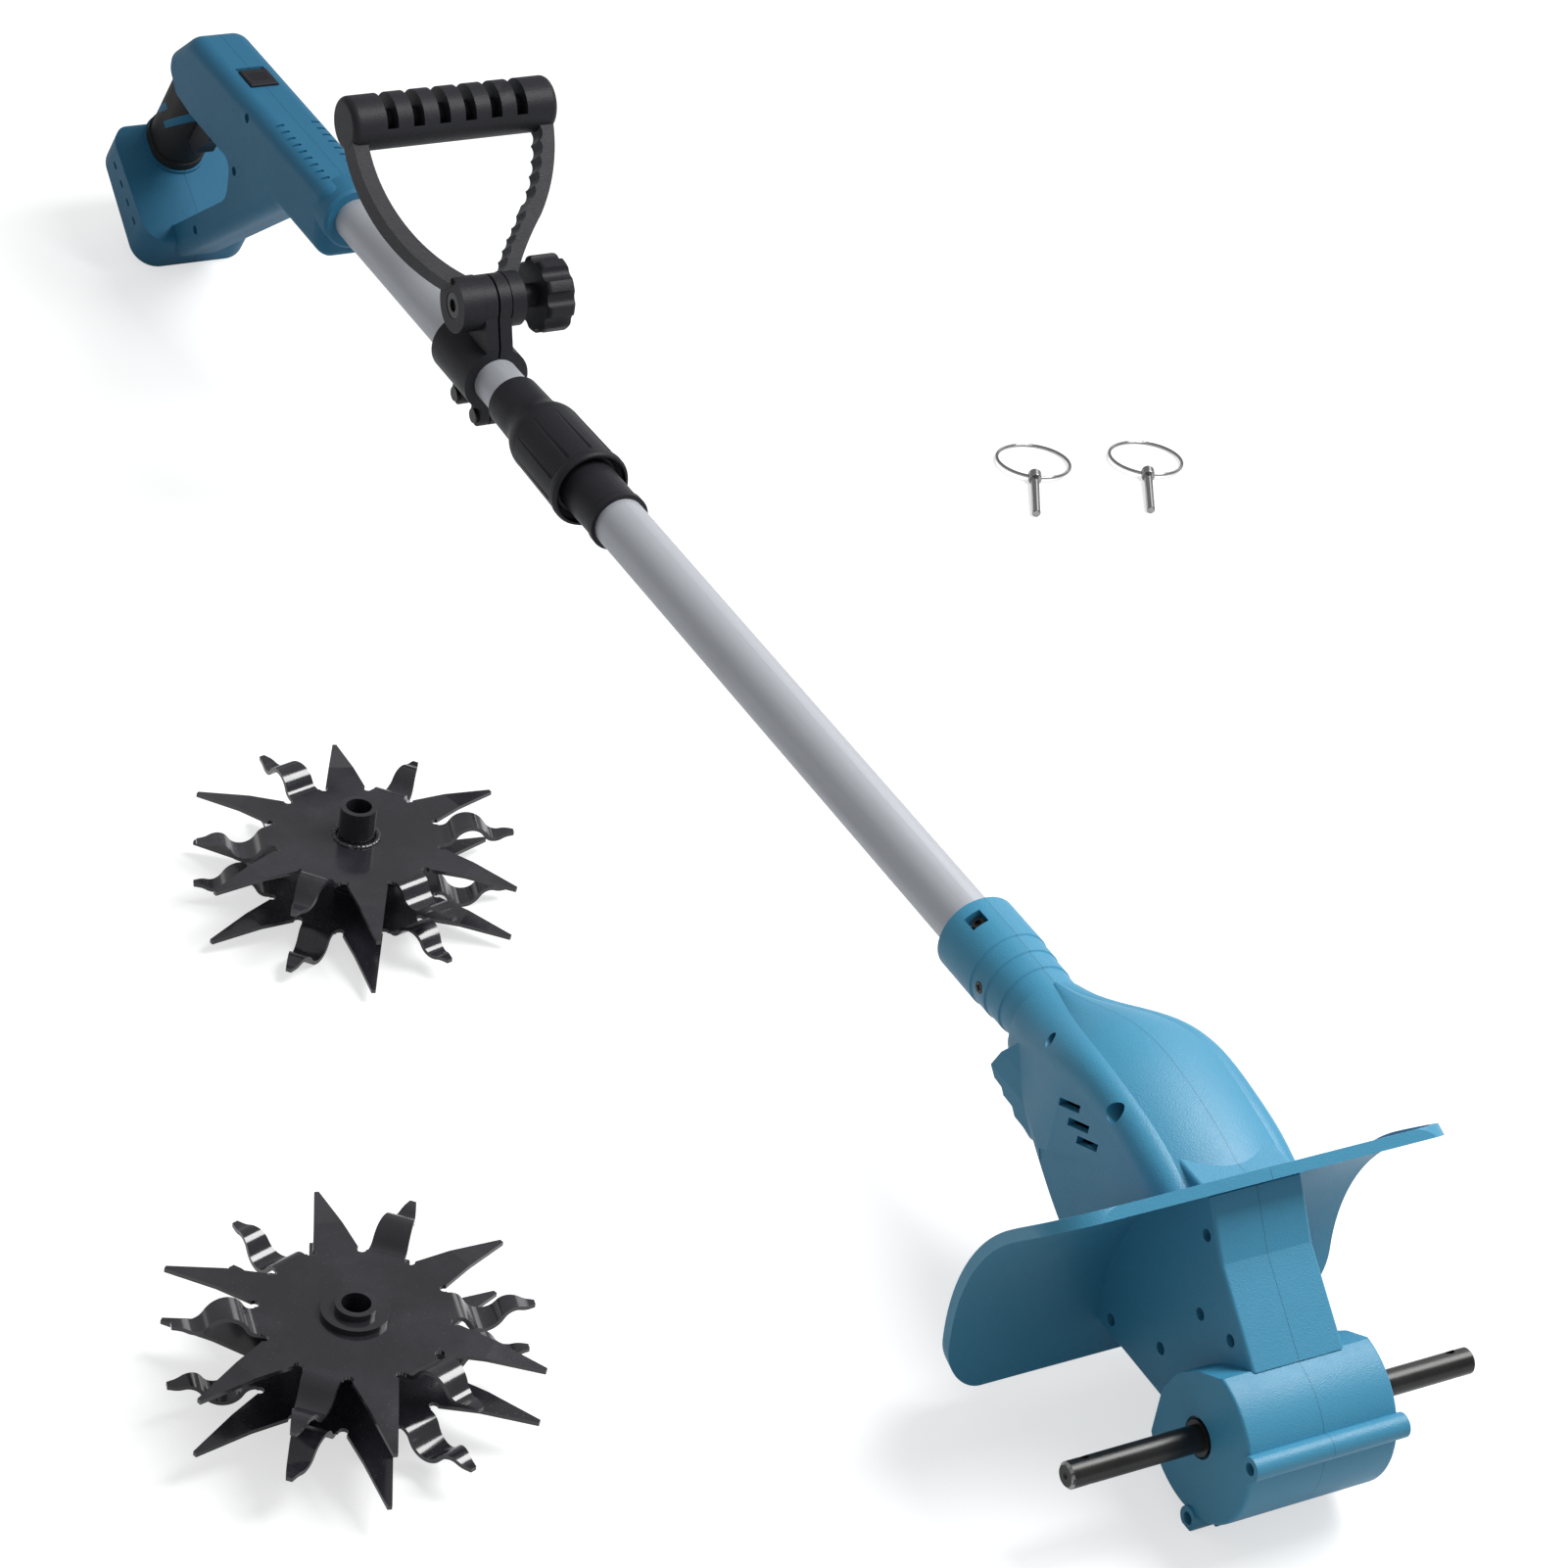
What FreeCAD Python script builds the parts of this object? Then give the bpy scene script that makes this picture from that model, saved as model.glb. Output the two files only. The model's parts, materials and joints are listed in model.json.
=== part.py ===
import FreeCAD, Part
import os
from math import acos, asin, atan, atan2, cos, degrees, hypot, pi, radians, sin, sqrt, tan

# Cordless pole cultivator, all lengths in millimetres.
# It is drawn in the pole's own frame: X along the axle, Y along the pole towards the user,
# Z square to both, with the zero on the axle. At the end everything is tilted and lifted
# so that the gear case skid and the battery foot stand on the floor, and the zero is on
# the floor under the axle. The rotors and the pins lie beside the tool.

V = FreeCAD.Vector
FULL_TURN = 360.0
OVERRUN = 60.0

# Stance
axle_height = 44.0

# Fits shared by all sub-parts
running_gap = 0.3
shaft_fit = 0.05
seat_gap = 0.3

# Pole
lower_tube_od = 28.0
lower_tube_wall = 1.0
upper_tube_wall = 1.2
pole_height = 61.0
lower_tube_start = 228.0
lower_tube_end = 692.0
upper_tube_start = 440.0
tube_bush_length = 24.0

# Head housing
wall = 2.6
hood_front_y = 40.0
hood_length = 170.0
hood_half_width = 36.0
hood_rise = 43.0
hood_drop = 95.0
hood_bottom_radius = 13.0
hood_top_radius = 11.0
hood_crown = 4.5
neck_mouth_y = 270.0
neck_radius = 20.6
neck_step = 0.7
neck_ring_inset = 31.0
neck_ring_pitch = 11.5
neck_nut_inset = 12.0
neck_nut_deg = -29.0
neck_start_y = 196.0
neck_lip = 1.6
leg_half_width = 23.4
leg_foot_y = -6.5
leg_bend = (29.0, 67.5)
leg_top = (46.0, 91.0)
leg_drop = 21.0
leg_slant_share = 1.25
leg_edge_radius = 1.8
drum_radius = 37.5
drum_half_width = 38.0
drum_edge_radius = 1.5
# Side view of the room above and behind the drum's ends, beside the leg
shoulder_points = [
    (-7.0, 38.5), (10.0, 29.0), (22.0, 18.0), (29.0, 2.0), (29.0, -24.0), (64.0, -24.0), (64.0, 60.0),
    (-7.0, 60.0),
]
shoulder_corners = [0, 12.0, 20.0, 20.0, 0, 0, 0, 0]
drum_side_wall = 3.0
boss_radius = 5.5
boss_overhang = 1.2
skid_length = 26.0
skid_half_width = 27.0
skid_height = 12.0

# Guard
guard_radius = 98.0
guard_sheet = 2.6
guard_bead = 5.4
guard_bead_width = 3.2
guard_half_width = 101.0
guard_low_deg = -21.5
guard_bend_deg = 45.0
guard_lip = 45.0
guard_view_deg = 20.0
guard_top_corner = 26.0
guard_low_corner = 17.0

# Housing details
vent_length = 16.0
vent_width = 4.2
vent_lean_deg = 156.0
vent_places = [(135.0, 73.5), (126.2, 69.2), (117.8, 65.6)]
panel_step = 1.3
label_step = 0.9
# Side views of the stepped panel and of the label recess in it
panel_points = [
    (186.0, 45.0), (175.0, 68.7), (136.7, 79.8), (124.4, 83.9), (102.4, 82.9), (70.9, 77.0), (60.0, -30.0),
    (140.0, -8.0),
]
label_points = [(149.0, 38.0), (112.0, 60.0), (91.0, 54.6), (70.0, -25.0), (130.0, -10.0)]
# Stepped air outlet at the lower rear of the hood: its side view and its front view
outlet_points = [
    (150.0, 27.0), (158.5, 31.5), (166.0, 28.5), (170.5, 31.5), (177.5, 32.0), (181.0, 35.3), (188.5, 35.6),
    (191.0, 38.3), (197.5, 38.8), (202.0, 43.0), (199.0, 52.0), (176.0, 84.0), (150.0, 84.0),
]
outlet_front_points = [(24.0, 22.0), (28.5, 32.0), (28.5, 43.0), (26.5, 52.0), (17.0, 84.0)]
louvre_count = 5
louvre_depth = 4.2
louvre_pitch = 10.5
louvre_start_y = 152.0
screw_head_radius = 2.7
screw_shank_radius = 1.5
recess_radius = 2.9
recess_depth = 7.0
large_recess_radius = 4.2
screw_post_radius = 4.3
screw_head_height = 2.4
nut_pocket_half = 4.2
nut_half = 3.3
nut_height = 3.2

# Axle and bearings
axle_radius = 6.0
axle_seat_radius = 6.6
axle_half_length = 104.4
axle_chamfer = 1.2
cross_hole_radius = 2.6
cross_hole_inset = 9.8
cross_hole_deg = -35.0
case_bore_radius = 9.4
sleeve_radius = 8.2
bearing_radius = 14.0
bearing_width = 8.0
bearing_seat_wall = 3.0
centre_drill_radius = 1.6

# Gear train: teeth, module, width and the turn of each line of centres
output_teeth = 30
idler_one_teeth = 14
second_small_teeth = 12
second_large_teeth = 32
idler_two_teeth = 18
first_small_teeth = 12
first_large_teeth = 50
pinion_teeth = 10
heavy_module = 2.0
middle_module = 1.5
fine_module = 1.0
line_one_deg = 22.7
line_two_deg = 27.6
line_three_deg = 30.0
line_four_deg = 30.0
line_five_deg = 14.0
output_width = 12.0
middle_width = 9.0
fine_width = 6.0
heavy_plane_x = 0.0
middle_plane_x = 12.0
fine_plane_x = 22.0
gear_pin_radius = 3.0
pinion_bore_radius = 1.6
addendum_share = 0.85
dedendum_share = 1.15
tooth_share = 0.42
tip_share = 0.24
root_share = 0.56
gear_hub_radius = 9.0
gear_hub_length = 7.0

# Motor
motor_radius = 18.0
motor_front_x = 17.0
motor_length = 36.0
motor_cap_length = 7.0
motor_boss_radius = 6.5
motor_boss_length = 1.6

# Twist lock
lock_rim_y = 630.0
lock_rim_length = 4.0
lock_rim_radius = 16.4
lock_sleeve_radius = 15.6
lock_core_radius = 17.2
lock_core_end = 704.0
grip_skirt_y = 662.0
grip_flange_radius = 21.9
grip_flange_length = 6.0
grip_bulge_radius = 21.2
grip_bulge_end = 712.0
grip_neck_y = 733.0
grip_end_y = 754.0
grip_neck_radius = 15.6
grip_end_radius = 15.0
grip_flute_count = 10
grip_flute_radius = 1.5
grip_wall = 2.0
collet_length = 13.0
collet_thickness = 2.2

# Handle clamp and D-handle
clamp_start_y = 776.0
clamp_length = 42.0
clamp_ring_radius = 18.6
clamp_slot = 1.2
ear_width = 7.6
ear_radius = 14.5
ear_lean_deg = 20.0
pivot_y = 796.0
pivot_rise = 37.5
pivot_bolt_radius = 4.0
bolt_head_radius = 7.0
bolt_head_height = 3.0
clamp_lug_drop = 24.8
clamp_lug_radius = 6.0
clamp_lug_length = 12.0
clamp_lug_inset = 7.0
clamp_lug_pitch = 23.5
clamp_bolt_radius = 2.0
left_eye_width = 13.0
right_eye_width = 8.2
eye_radius = 15.0
d_reach = 103.0
d_half_width = 58.5
d_thickness = 13.0
d_arm = 8.6
d_foot_reach = 10.0
d_lean_deg = 47.0
d_bar_radius = 15.0
d_slot_width = 6.4
d_slot_pitch = 15.2
d_slot_count = 6
d_slot_floor = 7.0
d_scallop_radius = 6.0
d_scallop_depth = 1.6
d_scallop_count = 6
# Middle lines of the arms as shares of the half width and of the reach
d_left_bulge_shares = (0.82, 0.42)
d_right_hollow_shares = (0.42, 0.27)
d_knee_shares = (0.655, 0.427)
d_right_bulge_shares = (0.92, 0.70)
d_core_share = 0.42
knob_radius = 21.0
knob_lobes = 9
knob_scallop_radius = 5.2
knob_thickness = 16.0
knob_stem_radius = 6.5
knob_stem_length = 10.4

# Rear handle, in the side view: heights are above the axle
socket_y = 958.0
socket_radius = 19.0
socket_lip_length = 6.0
socket_depth = 34.0
handle_half_width = 18.5
handle_top = 16.5
handle_bottom = 27.0
handle_edge = 9.0
handle_wall = 2.6
handle_corners = [4.0, 10.0, 3.0, 0, 4.0, 8.0, 20.0, 4.0]
strut_corner = (1025.0, 34.0)
strut_foot = (1164.0, -74.0)
hump_top = (1160.0, 77.5)
hump_rear = (1189.0, 53.0)
opening_front_y = 1090.0
opening_low = (1163.0, -51.0)
opening_bend_z = 6.0
opening_corners = [8.0, 18.0, 4.0, 0, 0, 6.0, 6.0, 0]
saddle_y = 1150.0
saddle_z = 31.0
grip_base = (1210.0, -22.0)
grip_lean_deg = 31.0
grip_length = 82.0
grip_half_width = 15.5
grip_half_depth = 18.5
grip_rubber = 2.6
grip_ring_height = 4.0
foot_half_width = 37.0
foot_rear = 18.0
foot_front = 66.0
foot_rear_thickness = 23.0
foot_front_thickness = 30.0
foot_corner = 16.0
foot_corners = [4.0, 0, 3.0, 5.0]
foot_wall = 3.0
slot_half_width = 30.0
slot_depth = 14.0
rail_width = 4.0
rail_height = 3.5
foot_slot_count = 4
foot_slot_length = 5.0
foot_slot_width = 2.4
foot_slot_pitch = 13.0
top_groove_count = 9
top_groove_y = 978.0
top_groove_pitch = 8.0
top_groove_x = 8.5
top_groove_length = 5.0
top_groove_width = 2.2
top_groove_depth = 1.6
button_length = 19.0
button_width = 17.0
button_rise = 1.6
button_travel = 5.0
button_y = 1102.0
button_depth = 6.0
button_ribs = 4
button_rib_pitch = 2.3
trigger_width = 11.0
trigger_travel = 5.0
trigger_tip = 36.0
trigger_low = 34.0
trigger_high = 64.0
trigger_root = 11.0
trigger_corners = [0, 2.5, 10.0, 2.5, 2.5, 0]
trigger_hook = (6.0, 12.0)
trigger_toe = (6.5, 4.0)
switch_half_width = 7.0
switch_length = 18.0
switch_height = 20.0
switch_y = 1128.0
switch_z = 44.0
terminal_half_width = 13.0
terminal_height = 6.0
terminal_length = 22.0
handle_screws_at = [(1072.0, 68.0), (1083.0, 28.0), (1130.0, -36.0)]

# Rotors
rotor_radius = 84.0
rotor_root_radius = 42.0
rotor_plate = 2.0
rotor_gap = 26.5
rotor_spikes = 6
rotor_hub_radius = 9.0
rotor_bore = 6.3
rotor_long_end = 17.0
rotor_short_end = 5.5
rotor_collar_radius = 14.8
rotor_collar_height = 2.5
rotor_weld_radius = 1.7
rotor_weld_ring = 4.2
rotor_notch_radius = 2.1
spike_root_half = 9.8
spike_tip_half = 1.0
spike_bend_share = 0.41
spike_bend_deg = 6.5
wave_radius = 77.4
wave_root_half = 8.2
wave_mid_half = 6.2
wave_tip_half = 1.4
wave_crest = 8.4
# Bends of a wavy tooth along its middle line: heading reached in degrees, radius, straight run after it
wave_bends = [(60.0, 5.4, 1.6), (-55.0, 8.6, 1.7), (25.0, 6.5, 0), (0, 9.0, 0)]
rotor_one_x = -187.0
rotor_one_y = 524.0
rotor_one_turn_deg = 13.0
rotor_two_x = -339.0
rotor_two_y = 191.0
rotor_two_turn_deg = 17.0

# Ring pins
pin_radius = 2.5
pin_length = 38.0
pin_neck_radius = 2.0
pin_neck_length = 3.0
pin_head_radius = 4.0
pin_head_length = 6.5
pin_tip_chamfer = 0.8
ring_radius = 22.0
ring_wire = 1.0
ring_eye_radius = 1.6
pin_one_x = 372.0
pin_one_y = 784.0
pin_two_x = 442.0
pin_two_y = 768.0
pin_turn_deg = -30.0

# Places of the housing screws on the near side, across the leg and round the drum
leg_screws = [(42.5, 73.0), (34.0, 36.0), (12.0, 40.0), (52.5, 0.5), (88.0, -13.5)]
drum_screws = [(-36.0, 15.0), (-8.0, -39.0)]
hood_screws = [(106.0, 92.0), (166.0, 84.0)]
neck_screw = (233.0, pole_height)

# Worked out sizes
lower_tube_radius = lower_tube_od / 2
lower_tube_bore = lower_tube_radius - lower_tube_wall
upper_tube_radius = lower_tube_bore - running_gap
upper_tube_bore = upper_tube_radius - upper_tube_wall
upper_tube_end = socket_y + socket_depth
clamp_end_y = clamp_start_y + clamp_length
pivot_z = pole_height + pivot_rise
grip_lean = radians(grip_lean_deg)


def on_grip(y, z):
    """Place in the side view of a point given from the grip's base, with Z along the grip."""
    return (
        grip_base[0] + y * cos(grip_lean) - z * sin(grip_lean),
        grip_base[1] + y * sin(grip_lean) + z * cos(grip_lean),
    )


# The skid and the front edge of the battery foot stand on one floor
foot_edge = on_grip(-foot_front, -foot_front_thickness)
tilt = asin(-axle_height / hypot(*foot_edge)) - atan2(foot_edge[1], foot_edge[0])
pole_tilt_deg = degrees(tilt)


def floor_z(y):
    """Height of the floor under a place y along the pole, in the pole's frame."""
    return -(axle_height + y * sin(tilt)) / cos(tilt)


# Basic shapes
def yz(point, x=0.0):
    return V(x, point[0], point[1])


def rounded_wire(points, radii, to_space):
    """Closed outline of straight runs with each corner rounded by its own radius."""
    count = len(points)
    cuts = []
    for i in range(count):
        px, py = points[i]
        ax, ay = points[i - 1]
        bx, by = points[(i + 1) % count]
        la = hypot(ax - px, ay - py)
        lb = hypot(bx - px, by - py)
        ua = ((ax - px) / la, (ay - py) / la)
        ub = ((bx - px) / lb, (by - py) / lb)
        radius = radii[i] if isinstance(radii, (list, tuple)) else radii
        if not radius:
            cuts.append(((px, py), None, (px, py)))
            continue
        half = acos(max(-1, min(1, ua[0] * ub[0] + ua[1] * ub[1]))) / 2
        reach = radius / tan(half)
        bis = (ua[0] + ub[0], ua[1] + ub[1])
        size = hypot(*bis)
        centre = radius / sin(half)
        mid = (centre - radius) / size
        cuts.append((
            (px + ua[0] * reach, py + ua[1] * reach),
            (px + bis[0] * mid, py + bis[1] * mid),
            (px + ub[0] * reach, py + ub[1] * reach),
        ))
    edges = []
    for i in range(count):
        start, mid, end = cuts[i]
        if mid:
            edges.append(Part.Arc(to_space(start), to_space(mid), to_space(end)).toShape())
        nxt = cuts[(i + 1) % count][0]
        if hypot(nxt[0] - end[0], nxt[1] - end[1]) > shaft_fit / 10:
            edges.append(Part.makeLine(to_space(end), to_space(nxt)))
    return Part.Wire(edges)


def prism_x(points, radii, x0, x1):
    """Outline in the side view, drawn out across the width."""
    wire = rounded_wire(points, radii, lambda p: yz(p, x0))
    return Part.Face(wire).extrude(V(x1 - x0, 0, 0))


def soft_prism_x(points, radii, x0, x1, edge):
    """The same with its outer rims rounded."""
    body = prism_x(points, radii, x0, x1)
    tiny = shaft_fit / 10
    rims = []
    for e in body.Edges:
        box = e.BoundBox
        if box.XLength < tiny and (abs(box.XMin - x0) < tiny or abs(box.XMin - x1) < tiny):
            rims.append(e)
    return body.makeFillet(edge, rims)


def cyl_x(radius, x0, x1, place=(0, 0)):
    return Part.makeCylinder(radius, x1 - x0, yz(place, x0), V(1, 0, 0))


def cyl_y(radius, y0, y1, x=0.0, z=pole_height):
    return Part.makeCylinder(radius, y1 - y0, V(x, y0, z), V(0, 1, 0))


def cyl_z(radius, z0, z1, x=0.0, y=0.0):
    return Part.makeCylinder(radius, z1 - z0, V(x, y, z0), V(0, 0, 1))


def ring_x(outer, inner, x0, x1, place=(0, 0)):
    return cyl_x(outer, x0, x1, place).cut(cyl_x(inner, x0 - OVERRUN, x1 + OVERRUN, place))


def ring_y(outer, inner, y0, y1):
    return cyl_y(outer, y0, y1).cut(cyl_y(inner, y0 - OVERRUN, y1 + OVERRUN))


def block(x0, x1, y0, y1, z0, z1):
    return Part.makeBox(x1 - x0, y1 - y0, z1 - z0, V(x0, y0, z0))


def turned_y(profile):
    """Solid of revolution about the pole's axis from (y, radius) points."""
    wire = Part.makePolygon([V(0, y, pole_height + r) for y, r in profile + profile[:1]])
    return Part.Face(wire).revolve(V(0, 0, pole_height), V(0, 1, 0), FULL_TURN)


def half(shape, side):
    """Keeps the left (side -1) or the right (side 1) of the middle plane."""
    box = shape.BoundBox
    x0 = 0.0 if side > 0 else box.XMin - OVERRUN
    x1 = 0.0 if side < 0 else box.XMax + OVERRUN
    keep = block(x0, x1, box.YMin - OVERRUN, box.YMax + OVERRUN, box.ZMin - OVERRUN, box.ZMax + OVERRUN)
    return shape.common(keep)


# Head housing
# Hood stations: along the hood, half width, top, bottom, and roundness, each as a share
hood_station_shares = [
    (0.00, 1.00, 0.58, 1.00, 0.0),
    (0.20, 1.00, 0.80, 0.81, 0.0),
    (0.35, 1.00, 0.94, 0.67, 0.0),
    (0.51, 0.99, 1.00, 0.53, 0.0),
    (0.65, 0.94, 0.91, 0.405, 0.1),
    (0.78, 0.81, 0.71, 0.34, 0.3),
    (0.89, 0.66, 0.535, 0.295, 0.6),
    (0.97, 0.55, 0.45, 0.265, 0.9),
]


def hood_section(shares, inset):
    along, width, top, bottom, roundness = shares
    y = hood_front_y + along * hood_length
    hw = width * hood_half_width - inset
    zt = pole_height + top * hood_rise - inset
    zb = pole_height - bottom * hood_drop + inset
    crown = hood_crown * (1 - roundness) + running_gap
    room = min(hw, (zt - crown - zb) / 2) * 0.97
    rb = hood_bottom_radius + (room - hood_bottom_radius) * roundness
    rt = hood_top_radius + (room - hood_top_radius) * roundness
    rb = min(rb, room)
    rt = min(rt, room)
    zs = zt - crown - rt

    def p(x, z):
        return V(x, y, z)

    bend = sqrt(0.5)
    low_in = p(hw - rb, zb)
    low_mid = p(hw - rb + rb * bend, zb + rb - rb * bend)
    low_out = p(hw, zb + rb)
    top_out = p(hw, zs)
    top_mid = p(hw - rt + rt * bend, zs + rt * bend)
    top_in = p(hw - rt, zs + rt)

    def mirrored(q):
        return p(-q.x, q.z)

    edges = [
        Part.makeLine(mirrored(low_in), low_in),
        Part.Arc(low_in, low_mid, low_out).toShape(),
        Part.makeLine(low_out, top_out),
        Part.Arc(top_out, top_mid, top_in).toShape(),
        Part.Arc(top_in, p(0, zt), mirrored(top_in)).toShape(),
        Part.Arc(mirrored(top_in), mirrored(top_mid), mirrored(top_out)).toShape(),
        Part.makeLine(mirrored(top_out), mirrored(low_out)),
        Part.Arc(mirrored(low_out), mirrored(low_mid), mirrored(low_in)).toShape(),
    ]
    return Part.Wire(edges)


def hood_body(inset):
    return Part.makeLoft([hood_section(s, inset) for s in hood_station_shares], True, False)


def behind_guard(radius):
    """Everything on the rotor side of a guard surface of the given radius."""
    bend = radians(guard_bend_deg)
    low = radians(guard_low_deg) - pi / 6
    mid = (bend + low) / 2
    a = (radius * cos(low), radius * sin(low))
    m = (radius * cos(mid), radius * sin(mid))
    b = (radius * cos(bend), radius * sin(bend))
    run = 2 * guard_radius
    c = (b[0] - run * sin(bend), b[1] + run * cos(bend))
    d = (-run, c[1])
    e = (-run, a[1])
    x0 = -2 * guard_radius
    edges = [Part.Arc(yz(a, x0), yz(m, x0), yz(b, x0)).toShape()]
    for s, t in ((b, c), (c, d), (d, e), (e, a)):
        edges.append(Part.makeLine(yz(s, x0), yz(t, x0)))
    return Part.Face(Part.Wire(edges)).extrude(V(-2 * x0, 0, 0))


def guard_sheet_body(inner, thickness):
    """Sheet rolled round the axle with a straight lip, before its corners are cut."""
    bend = radians(guard_bend_deg)
    low = radians(guard_low_deg)
    mid = (bend + low) / 2
    x0 = -guard_half_width
    rims = []
    for radius in (inner, inner + thickness):
        a = (radius * cos(low), radius * sin(low))
        m = (radius * cos(mid), radius * sin(mid))
        b = (radius * cos(bend), radius * sin(bend))
        c = (b[0] - guard_lip * sin(bend), b[1] + guard_lip * cos(bend))
        rims.append((a, m, b, c))
    (a, m, b, c), (e, f, g, h) = rims
    edges = [
        Part.Arc(yz(a, x0), yz(m, x0), yz(b, x0)).toShape(),
        Part.makeLine(yz(b, x0), yz(c, x0)),
        Part.makeLine(yz(c, x0), yz(h, x0)),
        Part.makeLine(yz(h, x0), yz(g, x0)),
        Part.Arc(yz(g, x0), yz(f, x0), yz(e, x0)).toShape(),
        Part.makeLine(yz(e, x0), yz(a, x0)),
    ]
    return Part.Face(Part.Wire(edges)).extrude(V(2 * guard_half_width, 0, 0))


def guard_outline(inset):
    """Prism of the guard's outline with round corners, seen along its middle."""
    view = radians(guard_view_deg)
    low = radians(guard_low_deg)
    bend = radians(guard_bend_deg)
    outer = guard_radius + guard_bead
    a = (guard_radius * cos(low), guard_radius * sin(low))
    b = (outer * cos(bend) - guard_lip * sin(bend), outer * sin(bend) + guard_lip * cos(bend))
    s_low = -a[0] * sin(view) + a[1] * cos(view) + inset
    s_top = -b[0] * sin(view) + b[1] * cos(view) - inset
    w = guard_half_width - inset
    tc = guard_top_corner - inset
    lc = guard_low_corner - inset
    depth = 2 * guard_radius
    wire = rounded_wire(
        [(-w, s_low), (w, s_low), (w, s_top), (-w, s_top)],
        [lc, lc, tc, tc],
        lambda p: V(p[0], -depth, p[1]),
    )
    prism = Part.Face(wire).extrude(V(0, 2 * depth, 0))
    prism.rotate(V(0, 0, 0), V(1, 0, 0), guard_view_deg)
    return prism


def guard_body():
    """Guard sheet with a thicker bead round its rim."""
    thick = guard_sheet_body(guard_radius, guard_bead).common(guard_outline(0.0))
    spare = guard_sheet_body(guard_radius + guard_sheet, guard_bead).common(guard_outline(guard_bead_width))
    return thick.cut(spare)


def leg_outline(inset):
    """Side view of the leg from the drum up to just behind the guard."""
    reach = guard_radius + guard_sheet
    far = reach * cos(radians(guard_low_deg)) + leg_half_width / 2
    return [
        (leg_foot_y + inset, drum_radius - inset * leg_slant_share),
        (leg_bend[0] + inset / 2, leg_bend[1] - inset * leg_slant_share),
        (leg_top[0] + inset, leg_top[1]),
        (far, leg_top[1]),
        (far, -leg_drop + inset),
        (leg_bend[0], -leg_drop + inset),
    ]


def neck_body():
    """Neck round the pole with its step rings, thickest at the mouth."""
    r = neck_radius
    y = neck_mouth_y
    profile = [(neck_start_y, 0), (neck_start_y, r - 3 * neck_step)]
    for i in (3, 2, 1):
        ring = y - neck_ring_inset - (i - 1) * neck_ring_pitch
        profile.append((ring, r - i * neck_step))
        profile.append((ring + neck_step, r - (i - 1) * neck_step))
    profile += [(y - neck_lip, r), (y, r - neck_lip), (y, 0)]
    return turned_y(profile)


def side_panels(body):
    """Stepped flat panels and the bare label recess on both sides of the hood."""
    shell = hood_half_width
    for side in (-1, 1):
        for outline, depth in ((panel_points, panel_step), (label_points, panel_step + label_step)):
            inner = side * (shell - depth)
            outer = side * (shell + OVERRUN)
            body = body.cut(prism_x(outline, 0, min(inner, outer), max(inner, outer)))
    return body


def vents(body):
    """Three slanted slots in each side."""
    lean = radians(vent_lean_deg)
    for cy, cz in vent_places:
        dy = cos(lean) * vent_length / 2
        dz = sin(lean) * vent_length / 2
        h = vent_width / 2
        outline = [
            (cy - dy, cz - dz - h),
            (cy + dy, cz + dz - h),
            (cy + dy, cz + dz + h),
            (cy - dy, cz - dz + h),
        ]
        inner = hood_half_width - 3 * wall
        outer = hood_half_width + OVERRUN
        body = body.cut(prism_x(outline, 0, -outer, -inner))
        body = body.cut(prism_x(outline, 0, inner, outer))
    return body


def louvres(body):
    """Row of notches across the underside of the hood."""
    for i in range(louvre_count):
        y = louvre_start_y + i * louvre_pitch
        z = hood_bottom_at(y)
        wedge = [
            (y - louvre_pitch / 2, z - OVERRUN),
            (y + louvre_pitch / 4, z - OVERRUN),
            (y + louvre_pitch / 4, z + louvre_depth),
            (y - louvre_pitch / 4, z + louvre_depth / 2),
        ]
        body = body.cut(prism_x(wedge, 0, -hood_half_width, hood_half_width))
    return body


def outlet_body():
    """Stepped block of the air outlet, bevelled above and below."""
    half_width = outlet_front_points[1][0]
    side = prism_x(outlet_points, 0, -half_width, half_width)
    y0 = outlet_points[0][0] - OVERRUN
    corners = [V(x, y0, z) for x, z in outlet_front_points]
    corners += [V(-x, y0, z) for x, z in outlet_front_points[::-1]]
    front = Part.Face(Part.makePolygon(corners + corners[:1])).extrude(V(0, 3 * OVERRUN, 0))
    return side.common(front)


def hood_bottom_at(y):
    share = (y - hood_front_y) / hood_length
    for low, high in zip(hood_station_shares, hood_station_shares[1:]):
        if low[0] <= share <= high[0]:
            t = (share - low[0]) / (high[0] - low[0])
            return pole_height - (low[3] + t * (high[3] - low[3])) * hood_drop
    return pole_height - hood_station_shares[-1][3] * hood_drop


def skid_body():
    """Flat foot under the drum, level with the floor."""
    top = -drum_radius + skid_height
    a = (-skid_length / 2, floor_z(-skid_length / 2))
    b = (skid_length / 2, floor_z(skid_length / 2))
    return prism_x([a, b, (b[0], top), (a[0], top)], 0, -skid_half_width, skid_half_width)


carried_gears = ("idler_one", "second", "idler_two", "first")
one_sided_gears = ("idler_one", "idler_two")


def gear_places():
    """Centres of all shafts of the gear train in the side view."""
    def step(start, angle, distance):
        a = radians(angle)
        return (start[0] + distance * cos(a), start[1] + distance * sin(a))

    output = (0.0, 0.0)
    idler_one = step(output, line_one_deg, (output_teeth + idler_one_teeth) * heavy_module / 2)
    second = step(idler_one, line_two_deg, (idler_one_teeth + second_small_teeth) * heavy_module / 2)
    idler_two = step(second, line_three_deg, (second_large_teeth + idler_two_teeth) * middle_module / 2)
    first = step(idler_two, line_four_deg, (idler_two_teeth + first_small_teeth) * middle_module / 2)
    motor = step(first, line_five_deg, (first_large_teeth + pinion_teeth) * fine_module / 2)
    return {"output": output, "idler_one": idler_one, "second": second, "idler_two": idler_two,
            "first": first, "motor": motor}


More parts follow.
